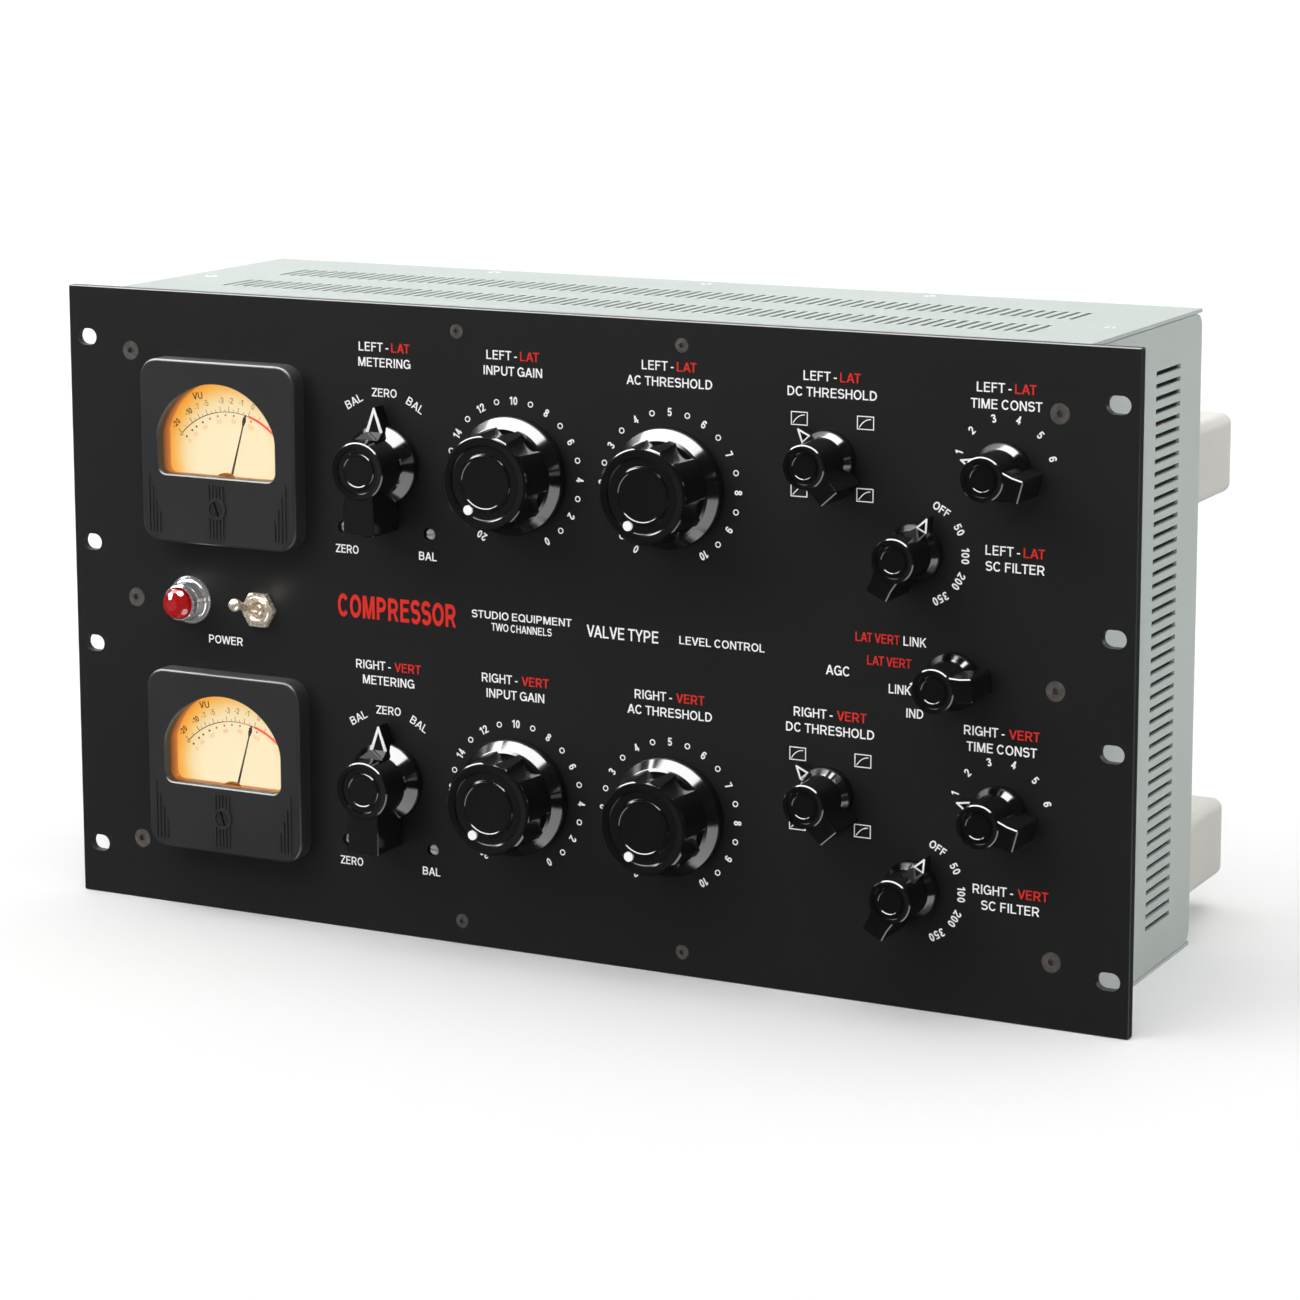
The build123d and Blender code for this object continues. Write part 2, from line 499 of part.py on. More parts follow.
def meter_case():
    flange = extrude(Pos(FACE_DX, 0) * RectangleRounded(FACE_W, FACE_H, 8.6), FACE_T)
    edge = flange.edges().filter_by(lambda e: abs(e.center().Z - FACE_T) < 1e-4)
    flange = fillet(edge, 1.3)
    body = flange + cyl(BARREL_R, -PANEL_T - BARREL_D, 0.5)
    body -= cyl(BARREL_IN, -PANEL_T - BARREL_D + 2.0, 3.4)
    body -= Pos(0, 0, -0.5) * extrude(window_face(1.8), 4.6)
    opening = Pos(0, 0, 3.0) * extrude(window_face(), 8.0)
    body -= opening
    lip = body.edges().filter_by(lambda e: abs(e.center().Z - FACE_T) < 1e-3 and abs(e.center().X) < 34 and abs(e.center().Y) < 34)
    try:
        body = chamfer(lip, 0.5)
    except Exception:
        pass
    # moulded ribs: five down the middle, four stepped ones in each lower corner
    ribs = []
    for dx in (-3.8, -2.1, -0.4, 1.3, 3.0):
        ribs.append((dx, -36.0, -12.9))
    for k, top in enumerate((-10.1, -15.6, -21.1, -26.1)):
        for s in (-1, 1):
            ribs.append((s * (33.8 - 1.74 * k), -35.0, top))
    for dx, zlo, zhi in ribs:
        rib = Pos(dx, (zlo + zhi) / 2, FACE_T - 0.6) * extrude(SlotOverall(zhi - zlo, 1.0, rotation=90), 1.15)
        body += rib
    boss = Pos(0, SCREW_DZ, 0) * cyl(4.6, FACE_T - 1.0, FACE_T + 0.9)
    body += boss
    body -= Pos(0, SCREW_DZ, 0) * cyl(3.3 + RUN, FACE_T - 2.0, FACE_T + 3)
    body -= Pos(0, SCREW_DZ, 0) * cyl(1.2 + RUN, -0.5, FACE_T)
    return body


def zero_screw():
    s = cyl(3.3, FACE_T - 1.9, FACE_T + 0.35) + cyl(1.2, 2.4, FACE_T - 1.0)
    s -= block(-4, 4, -0.45, 0.45, FACE_T - 0.7, FACE_T + 2)
    return s


def movement():
    """Coil and magnet block behind the dial, with the pivot pin and the round cover over it."""
    cover = cyl(COVER_R, DEEP + 1.3, DEEP + 1.8) & block(-20, 20, -1.3, 20, -2, 4)
    m = Pos(0, PIVOT_DZ, 0) * (cyl(11.0, -24.0, DEEP - 2.6) + cyl(1.2, DEEP - 3.5, DEEP + 1.5) + cover)
    m += block(-13, 13, PIVOT_DZ - 6, PIVOT_DZ + 22, -24.0, -6.0)
    clip = cyl(BARREL_IN - 0.3, -30, 8)
    m &= clip
    return m


def dial():
    d = cyl(BARREL_IN - 0.15, DEEP - 2.0, DEEP - 1.2) & (Pos(0, 6, DEEP - 1.5) * Box(66, 60, 4))
    d -= Pos(0, PIVOT_DZ, 0) * cyl(5.0, -6, 1)
    return d


def needle():
    """Pointer with its hub ring and tail weight, upright along local +Y."""
    n = cyl(2.8, -0.7, 0.9)
    n += prism([(-0.5, 0), (0.5, 0), (0.24, 20.0), (0.2, 28.0), (0.8, 30.6), (0.14, NEEDLE_L), (-0.14, NEEDLE_L),
                (-0.8, 30.6), (-0.2, 28.0), (-0.24, 20.0)], -0.1, 0.4)
    n += prism([(-0.8, 0), (0.8, 0), (1.2, -6.5), (-1.2, -6.5)], -0.3, 0.5)
    return n - cyl(1.2 + RUN, -2, 3)


def glass():
    return Pos(0, 0, 3.4) * extrude(window_face(1.5), 0.7)


out("meter_cases", *[face_loc(*p) * meter_case() for p in METERS.values()])
out("meter_windows", *[face_loc(*p) * glass() for p in METERS.values()])
out("meter_dials", *[face_loc(*p) * dial() for p in METERS.values()])
out("meter_movements", *[face_loc(*p) * movement() for p in METERS.values()])
for side, (x, z) in METERS.items():
    out(side + "_meter_needle", face_loc(x, z + PIVOT_DZ, DEEP) * turned(needle(), NEEDLE_REST))
    out(side + "_meter_zero_screw", face_loc(x, z + SCREW_DZ) * Rot(0, 0, 109.0) * zero_screw())


# ---------------------------------------------------------------- inside the case
BOARD_Y = 60.0
TUBE_X = (-92.0, -31.0, 31.0, 93.0, 155.0)
TUBE_Z = (64.0, -69.35)


def board(zc):
    b = block(-WEB_IN, WEB_IN, BOARD_Y, BOARD_Y + 1.6, zc - 52, zc + 52)
    for x in TUBE_X:
        b += rear_loc(x, zc, BOARD_Y + 1.0) * (cyl(11.5, 0, 6.0))
    return b


def tube():
    """Small nine-pin valve, glass envelope with its pip."""
    return lathe([(0, 0), (10.2, 0), (10.6, 1.5), (10.6, 37.0), (9.4, 41.0), (6.0, 44.0), (2.2, 45.5), (1.6, 48.0), (0, 48.6)])


out("circuit_boards", *[board(z) for z in TUBE_Z])
out("vacuum_tubes", *[rear_loc(x, z, BOARD_Y + 7.0) * tube() for x in TUBE_X for z in TUBE_Z])


def power_transformer():
    x0, x1, y0, y1, z0 = -200.0, -136.0, 66.0, 116.0, BOT_Z + SHEET
    core = block(x0, x1, y0 + 14, y1 - 14, z0 + 3, z0 + 57)
    coil = block(x0 + 12, x1 - 12, y0, y1, z0 + 11, z0 + 49)
    coil = fillet(coil.edges().filter_by(Axis.X), 5.0)
    feet = block(x0 - 2, x1 + 2, y0 + 12, y1 - 12, z0, z0 + 3)
    return core + coil + feet


out("power_transformer", power_transformer())


def can(zc):
    """Round-cornered screening can standing out of the rear panel."""
    c = block(CAN_X0, CAN_X1, CASE_D, CAN_Y1, zc - CAN_H / 2, zc + CAN_H / 2)
    c = fillet(c.edges().filter_by(Axis.Y), 4.5)
    c = fillet(c.edges().filter_by(lambda e: abs(e.center().Y - CAN_Y1) < 0.01), 3.0)
    return c + rear_loc((CAN_X0 + CAN_X1) / 2, zc, CASE_D - 6) * cyl(5.9, 0, 6.5)


out("transformer_cans", *[can(z) for z in CAN_Z])


# ---------------------------------------------------------------- rear connectors
def xlr_flange():
    return Pos(0, 0, 0) * extrude(RectangleRounded(26.0, 31.0, 3.0), 2.2)


def female_xlr():
    b = xlr_flange() + cyl(11.6, -22.0, 0.5)
    b -= cyl(9.7, -12.0, 3) - cyl(7.9, -13, 2.0)
    for a in (45, 135, 270):
        b -= cyl(1.35, -9.0, 3, 4.6 * math.cos(math.radians(a)), 4.6 * math.sin(math.radians(a)))
    for s in (-1, 1):
        b -= cyl(1.6, -1, 3, s * 9.5, s * 12.0)
    for dx in (-4, 0, 4):
        b += cyl(1.0, -28.0, -21.0, dx, 0)
    return b


def male_xlr():
    b = xlr_flange() + cyl(11.6, -22.0, 0.5)
    b -= cyl(8.3, -13.0, 3)
    for a in (45, 135, 270):
        b += cyl(1.2, -14.0, -1.5, 4.6 * math.cos(math.radians(a)), 4.6 * math.sin(math.radians(a)))
    for s in (-1, 1):
        b -= cyl(1.6, -1, 3, s * 9.5, s * 12.0)
    for dx in (-4, 0, 4):
        b += cyl(1.0, -28.0, -21.0, dx, 0)
    return b


def inlet():
    """Three-pole mains appliance inlet."""
    b = extrude(RectangleRounded(50.0, 24.0, 4.0), 2.6)
    b += Pos(0, 0, -22) * extrude(RectangleRounded(27.0, 19.6, 2.0), 22.5)
    b -= Pos(0, 0, -15) * extrude(RectangleRounded(24.4, 16.6, 1.5), 20)
    for dx, dy in ((-7.0, 1.0), (7.0, 1.0), (0.0, -4.0)):
        b += block(dx - 1.0, dx + 1.0, dy - 2.0, dy + 2.0, -16.0, -1.5)
        b += block(dx - 2.4, dx + 2.4, dy - 0.4, dy + 0.4, -30.0, -21.0)
    for s in (-1, 1):
        b -= cyl(1.75, -1, 4, s * 20.0, 0)
    return b


# local Y is -Z after rear_loc, so each connector is turned to stand upright
out("input_sockets", *[rear_loc(x, z, CASE_D) * Rot(0, 0, 180) * female_xlr() for x, z in IN_XLR])
out("output_sockets", *[rear_loc(x, z, CASE_D) * Rot(0, 0, 180) * male_xlr() for x, z in OUT_XLR])
out("mains_inlet", rear_loc(INLET[0], INLET[1], CASE_D) * Rot(0, 0, 180) * inlet())

total = Compound(children=list(parts.values()))
bb = total.bounding_box()
print(len(parts), "nodes; box", [round(v, 2) for v in (bb.min.X, bb.min.Y, bb.min.Z, bb.max.X, bb.max.Y, bb.max.Z)])
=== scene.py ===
import bpy
import bmesh
import json
import math
from mathutils import Matrix, Vector


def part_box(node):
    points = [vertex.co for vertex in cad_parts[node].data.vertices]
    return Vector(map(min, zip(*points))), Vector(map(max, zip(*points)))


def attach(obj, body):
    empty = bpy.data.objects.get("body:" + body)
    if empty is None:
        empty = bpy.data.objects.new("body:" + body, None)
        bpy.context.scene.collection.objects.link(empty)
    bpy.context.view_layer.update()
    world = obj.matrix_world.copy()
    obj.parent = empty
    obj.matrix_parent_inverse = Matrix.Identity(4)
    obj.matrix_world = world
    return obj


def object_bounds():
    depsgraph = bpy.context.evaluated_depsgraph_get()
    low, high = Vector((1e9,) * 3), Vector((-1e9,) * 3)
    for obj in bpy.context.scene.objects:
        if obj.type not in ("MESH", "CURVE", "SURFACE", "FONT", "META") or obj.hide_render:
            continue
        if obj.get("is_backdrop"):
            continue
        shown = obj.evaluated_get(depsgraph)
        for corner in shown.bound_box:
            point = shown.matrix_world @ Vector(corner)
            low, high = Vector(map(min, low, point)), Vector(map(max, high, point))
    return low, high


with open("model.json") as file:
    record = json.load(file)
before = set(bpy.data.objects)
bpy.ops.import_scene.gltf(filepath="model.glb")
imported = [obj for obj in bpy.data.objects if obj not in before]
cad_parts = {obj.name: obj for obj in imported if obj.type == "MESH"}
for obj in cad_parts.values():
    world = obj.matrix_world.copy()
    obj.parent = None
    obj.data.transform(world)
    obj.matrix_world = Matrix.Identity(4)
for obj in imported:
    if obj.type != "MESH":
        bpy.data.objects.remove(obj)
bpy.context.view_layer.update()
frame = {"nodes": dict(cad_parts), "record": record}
nodes = frame["nodes"]
MM = 0.001
scene = bpy.context.scene

# ------------------------------------------------------------------ places read from the frame
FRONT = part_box("front_panel")[0].y


def centre(node):
    a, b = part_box(node)
    return (a + b) / 2


def face(x, z, h=0.0, turn=0.0):
    """Local X right, Y up, Z out of the panel front; x, z, h in metres; turn clockwise in degrees."""
    return (Matrix.Translation((x, FRONT - h, z)) @ Matrix.Rotation(math.radians(90), 4, "X")
            @ Matrix.Rotation(math.radians(-turn), 4, "Z"))


# ------------------------------------------------------------------ node materials
def new_mat(name):
    m = bpy.data.materials.new(name)
    m.use_nodes = True
    nt = m.node_tree
    return m, nt, nt.nodes["Principled BSDF"]


def link(nt, a, ai, b, bi):
    nt.links.new(a.outputs[ai], b.inputs[bi])


def coords(nt, scale=1.0, stretch=(1, 1, 1)):
    tc = nt.nodes.new("ShaderNodeTexCoord")
    mp = nt.nodes.new("ShaderNodeMapping")
    mp.inputs["Scale"].default_value = (scale * stretch[0], scale * stretch[1], scale * stretch[2])
    link(nt, tc, "Object", mp, "Vector")
    return mp


def noise(nt, vec, scale, detail=4.0, rough=0.55):
    n = nt.nodes.new("ShaderNodeTexNoise")
    n.inputs["Scale"].default_value = scale
    n.inputs["Detail"].default_value = detail
    n.inputs["Roughness"].default_value = rough
    link(nt, vec, "Vector", n, "Vector")
    return n


def ramp(nt, src, out, stops):
    r = nt.nodes.new("ShaderNodeValToRGB")
    while len(r.color_ramp.elements) < len(stops):
        r.color_ramp.elements.new(0.5)
    for e, (p, c) in zip(r.color_ramp.elements, stops):
        e.position = p
        e.color = (*c, 1) if len(c) == 3 else c
    link(nt, src, out, r, "Fac")
    return r


def mix(nt, fac, a, b, mode="MIX"):
    m = nt.nodes.new("ShaderNodeMix")
    m.data_type = "RGBA"
    m.blend_type = mode
    if isinstance(fac, float):
        m.inputs["Factor"].default_value = fac
    else:
        link(nt, fac[0], fac[1], m, "Factor")
    for key, v in (("A", a), ("B", b)):
        if isinstance(v, tuple) and hasattr(v[0], "outputs"):
            nt.links.new(v[0].outputs[v[1]], m.inputs[6 if key == "A" else 7])
        else:
            m.inputs[6 if key == "A" else 7].default_value = (*v, 1)
    return m


def bump(nt, bsdf, src, out, strength, dist):
    b = nt.nodes.new("ShaderNodeBump")
    b.inputs["Strength"].default_value = strength
    b.inputs["Distance"].default_value = dist
    link(nt, src, out, b, "Height")
    link(nt, b, "Normal", bsdf, "Normal")
    return b


def edge_fac(nt, lo=0.52, hi=0.62):
    """Light on worn or thinly coated convex edges, from the mesh's own pointiness."""
    g = nt.nodes.new("ShaderNodeNewGeometry")
    return ramp(nt, g, "Pointiness", [(lo, (0, 0, 0)), (hi, (1, 1, 1))])


def coated(name, base, var, rough, rough_var, fine=2600.0, bump_s=0.12, metallic=0.0, spec=0.5, broad=14.0, coat=0.0, bump_d=0.00006):
    """Paint or moulded plastic: broad colour drift, fine texture in the gloss and in the surface."""
    m, nt, b = new_mat(name)
    vec = coords(nt)
    broad_n = noise(nt, vec, broad, 3.0)
    c = ramp(nt, broad_n, "Fac", [(0.3, tuple(v * (1 - var) for v in base)), (0.7, tuple(min(1, v * (1 + var)) for v in base))])
    link(nt, c, "Color", b, "Base Color")
    fine_n = noise(nt, vec, fine, 3.0, 0.6)
    r = ramp(nt, fine_n, "Fac", [(0.3, (rough - rough_var,) * 3), (0.7, (rough + rough_var,) * 3)])
    link(nt, r, "Color", b, "Roughness")
    bump(nt, b, fine_n, "Fac", bump_s, bump_d)
    b.inputs["Metallic"].default_value = metallic
    b.inputs["Specular IOR Level"].default_value = spec
    b.inputs["Coat Weight"].default_value = coat
    return m


M = {}
M["panel_black"] = coated("panel_black_paint", (0.0078, 0.0079, 0.0081), 0.12, 0.40, 0.04, 1500.0, 0.10, spec=0.42, broad=9.0)
M["screw_black"] = coated("blackened_steel", (0.15, 0.135, 0.125), 0.35, 0.38, 0.08, 900.0, 0.15, metallic=0.6, broad=300.0)
M["case_paint"] = coated("sage_case_paint", (0.434, 0.474, 0.452), 0.03, 0.55, 0.05, 1700.0, 0.16, spec=0.03, broad=11.0)
M["case_screw"] = coated("zinc_screw", (0.66, 0.68, 0.66), 0.10, 0.35, 0.08, 1200.0, 0.1, metallic=0.45, broad=400.0)
M["meter_plastic"] = coated("meter_moulding", (0.022, 0.0225, 0.024), 0.10, 0.37, 0.05, 1900.0, 0.12, spec=0.5, broad=40.0)
M["zero_screw_black"] = coated("zero_screw_moulding", (0.018, 0.018, 0.019), 0.10, 0.28, 0.05, 1500.0, 0.1)
M["knob_black"] = coated("gloss_knob_moulding", (0.0042, 0.0042, 0.0044), 0.15, 0.12, 0.012, 260.0, 0.0, spec=0.62, broad=60.0)
M["switch_body"] = coated("switch_moulding", (0.10, 0.10, 0.105), 0.2, 0.5, 0.08)
M["can_paint"] = coated("can_enamel", (0.60, 0.585, 0.55), 0.03, 0.42, 0.05, 1500.0, 0.12, broad=20.0)
M["transformer_steel"] = coated("lamination_steel", (0.16, 0.15, 0.15), 0.3, 0.45, 0.1, 700.0, 0.3, metallic=0.7)
M["connector_black"] = coated("connector_enamel", (0.02, 0.02, 0.021), 0.15, 0.35, 0.06, 1300.0, 0.12)
M["inlet_black"] = coated("inlet_moulding", (0.015, 0.015, 0.016), 0.15, 0.5, 0.06, 1300.0, 0.2)
M["board_green"] = coated("board_resist", (0.03, 0.12, 0.05), 0.2, 0.3, 0.06, 500.0, 0.05)


def metal(name, base, rough, streak, turned_scale=(1, 1, 1), scale=900.0, bump_s=0.08, metallic=1.0):
    m, nt, b = new_mat(name)
    vec = coords(nt, 1.0, turned_scale)
    n = noise(nt, vec, scale, 4.0)
    c = ramp(nt, n, "Fac", [(0.25, tuple(v * (1 - streak) for v in base)), (0.75, base)])
    link(nt, c, "Color", b, "Base Color")
    r = ramp(nt, n, "Fac", [(0.25, (rough * 1.5,) * 3), (0.75, (rough * 0.8,) * 3)])
    link(nt, r, "Color", b, "Roughness")
    b.inputs["Metallic"].default_value = metallic
    bump(nt, b, n, "Fac", bump_s, 0.00004)
    return m


M["chrome_trim"] = metal("bright_chrome", (0.86, 0.86, 0.85), 0.10, 0.10, metallic=0.78)
NICKEL = metal("warm_nickel", (0.80, 0.71, 0.58), 0.24, 0.14, metallic=0.62)
M["shaft_metal"] = metal("turned_aluminium", (0.80, 0.80, 0.79), 0.28, 0.16, (1, 6, 1), metallic=0.5)
M["movement_metal"] = metal("movement_brass", (0.80, 0.42, 0.10), 0.35, 0.2)
M["needle_black"] = coated("needle_lacquer", (0.035, 0.02, 0.012), 0.2, 0.55, 0.05)
PIN = metal("silver_pin", (0.85, 0.84, 0.8), 0.2, 0.1)


def glass_mat(name, tint, rough):
    m, nt, b = new_mat(name)
    vec = coords(nt)
    n = noise(nt, vec, 60.0, 2.0)
    r = ramp(nt, n, "Fac", [(0.3, (rough * 0.6,) * 3), (0.7, (rough * 1.4,) * 3)])
    link(nt, r, "Color", b, "Roughness")
    b.inputs["Base Color"].default_value = (*tint, 1)
    b.inputs["Transmission Weight"].default_value = 1.0
    b.inputs["IOR"].default_value = 1.12
    return m


M["meter_glass"] = glass_mat("meter_window_clear", (1.0, 0.99, 0.97), 0.015)
M["tube_glass"] = glass_mat("valve_glass", (0.92, 0.95, 0.95), 0.02)


def jewel_mat():
    m, nt, b = new_mat("red_jewel")
    vec = coords(nt)
    n = noise(nt, vec, 500.0, 2.0)
    c = ramp(nt, n, "Fac", [(0.3, (0.30, 0.004, 0.006)), (0.7, (0.44, 0.010, 0.012))])
    link(nt, c, "Color", b, "Base Color")
    b.inputs["Roughness"].default_value = 0.06
    b.inputs["Specular IOR Level"].default_value = 0.7
    b.inputs["Coat Weight"].default_value = 0.6
    b.inputs["Emission Color"].default_value = (0.45, 0.01, 0.012, 1)
    b.inputs["Emission Strength"].default_value = 0.12
    return m


M["jewel_red"] = jewel_mat()


def ink(name, rgb, glow=0.0, rough=0.5, spec=0.3):
    m, nt, b = new_mat(name)
    vec = coords(nt)
    n = noise(nt, vec, 1800.0, 2.0)
    c = ramp(nt, n, "Fac", [(0.2, tuple(v * 0.93 for v in rgb)), (0.6, rgb)])
    link(nt, c, "Color", b, "Base Color")
    r = ramp(nt, n, "Fac", [(0.3, (rough - 0.08,) * 3), (0.7, (rough + 0.08,) * 3)])
    link(nt, r, "Color", b, "Roughness")
    b.inputs["Specular IOR Level"].default_value = spec
    if glow:
        b.inputs["Emission Color"].default_value = (*rgb, 1)
        b.inputs["Emission Strength"].default_value = glow
    return m


# the white inks (panel lettering and knob marks) carry a painted glow: emission 0.12 on print that gives no light of
# its own, added to brighten it
INK_WHITE_PAINTED_GLOW = ink("white_ink_painted_glow", (0.86, 0.86, 0.85), 0.12)
INK_RED = ink("red_ink", (0.70, 0.028, 0.020), 0.0, 0.55, 0.1)
KNOB_WHITE_PAINTED_GLOW = ink("white_fill_painted_glow", (0.88, 0.88, 0.87), 0.12, 0.35)
DIAL_BLACK = ink("dial_black_ink", (0.10, 0.045, 0.018))
DIAL_FAINT = ink("dial_faint_ink", (0.70, 0.38, 0.20), 0.75)
DIAL_BROWN = ink("dial_brown_ink", (0.36, 0.16, 0.08), 0.35)
DIAL_RED = ink("dial_red_ink", (0.86, 0.07, 0.035), 0.65)
WIRE_RED = ink("wire_red", (0.5, 0.02, 0.015), 0.0, 0.4)
WIRE_GREY = ink("wire_grey", (0.25, 0.25, 0.26), 0.0, 0.4)


def dial_mat(zs, half=0.029):
    """Back-lit card: cream in the middle and to the right, deep amber towards the left and the top left."""
    m, nt, b = new_mat("amber_lit_card")
    tc = nt.nodes.new("ShaderNodeTexCoord")
    sep = nt.nodes.new("ShaderNodeSeparateXYZ")
    link(nt, tc, "Object", sep, "Vector")

    def math_node(op, a, c=None, clamp=False):
        n = nt.nodes.new("ShaderNodeMath")
        n.operation = op
        n.use_clamp = clamp
        for i, v in enumerate((a, c)):
            if v is None:
                continue
            if isinstance(v, (int, float)):
                n.inputs[i].default_value = v
            else:
                nt.links.new(v, n.inputs[i])
        return n.outputs[0]

    upper = math_node("GREATER_THAN", sep.outputs["Z"], (zs[0] + zs[1]) / 2)
    zc = math_node("ADD", math_node("MULTIPLY", upper, zs[0] - zs[1]), zs[1])
    dz = math_node("SUBTRACT", sep.outputs["Z"], zc)
    dx = math_node("SUBTRACT", sep.outputs["X"], DIAL_X)
    # how far from the lit heart of the card, in millimetres
    ux = math_node("MULTIPLY", math_node("SUBTRACT", dx, 0.0015), 1000.0)
    uz = math_node("MULTIPLY", math_node("ADD", dz, 0.0020), 1000.0)
    d = math_node("SQRT", math_node("ADD", math_node("MULTIPLY", ux, ux), math_node("MULTIPLY", uz, uz)))
    vec = coords(nt)
    n = noise(nt, vec, 160.0, 2.0)
    wob = math_node("MULTIPLY", math_node("SUBTRACT", n.outputs["Fac"], 0.5), 0.9)
    t = math_node("DIVIDE", math_node("SUBTRACT", math_node("ADD", d, wob), 18.0), 16.0, True)
    r = nt.nodes.new("ShaderNodeValToRGB")
    stops = [(0.0, (0.99, 0.84, 0.56)), (0.28, (0.965, 0.79, 0.475)), (0.41, (0.955, 0.72, 0.37)), (0.52, (0.955, 0.64, 0.26)),
             (0.625, (0.96, 0.56, 0.17)), (0.72, (0.965, 0.49, 0.10)), (0.81, (0.96, 0.435, 0.07)), (0.91, (0.93, 0.37, 0.05)), (1.0, (0.86, 0.28, 0.033))]
    while len(r.color_ramp.elements) < len(stops):
        r.color_ramp.elements.new(0.5)
    for e, (p, c) in zip(r.color_ramp.elements, stops):
        e.position = p
        e.color = (*c, 1)
    nt.links.new(t, r.inputs["Fac"])
    link(nt, r, "Color", b, "Emission Color")
    dark = mix(nt, 0.93, (r, "Color"), (0.02, 0.015, 0.01))
    nt.links.new(dark.outputs[2], b.inputs["Base Color"])
    b.inputs["Emission Strength"].default_value = 0.93
    b.inputs["Roughness"].default_value = 0.7
    b.inputs["Specular IOR Level"].default_value = 0.05
    return m


def lit_wall_mat():
    """Amber light on the inner frame round the card, brightest next to the card."""
    m, nt, b = new_mat("amber_lit_frame")
    tc = nt.nodes.new("ShaderNodeTexCoord")
    sep = nt.nodes.new("ShaderNodeSeparateXYZ")
    link(nt, tc, "Object", sep, "Vector")
    mr = nt.nodes.new("ShaderNodeMapRange")
    link(nt, sep, "Y", mr, "Value")
    mr.inputs["From Min"].default_value = FRONT - 0.0034
    mr.inputs["From Max"].default_value = FRONT + 0.0026
    r = ramp(nt, mr, "Result", [(0.0, (0.10, 0.022, 0.006)), (0.45, (0.34, 0.09, 0.022)), (1.0, (0.62, 0.24, 0.065))])
    link(nt, r, "Color", b, "Emission Color")
    n = noise(nt, coords(nt), 300.0, 2.0)
    c = ramp(nt, n, "Fac", [(0.3, (0.10, 0.03, 0.01)), (0.7, (0.13, 0.045, 0.015))])
    link(nt, c, "Color", b, "Base Color")
    b.inputs["Emission Strength"].default_value = 0.8
    b.inputs["Roughness"].default_value = 0.6
    return m


DIAL_X = centre("left_meter_zero_screw").x
PIVOTS = {"left": centre("left_meter_zero_screw").z + 7.2 * MM, "right": centre("right_meter_zero_screw").z + 7.2 * MM}
METER_Z = {k: v + 16.0 * MM for k, v in PIVOTS.items()}
M["dial_card"] = dial_mat((METER_Z["left"], METER_Z["right"]))

record = frame["record"]
slot_of = {s["node"]: s.get("material_slot", s["node"]) for s in record["subparts"]}
for name, o in nodes.items():
    m = NICKEL if name in ("power_toggle_lever", "power_switch_body", "panel_nuts") else M[slot_of[name]]
    o.data.materials.clear()
    o.data.materials.append(m)
    for p in o.data.polygons:
        p.material_index = 0
        p.use_smooth = name != "pilot_lamp_jewel"


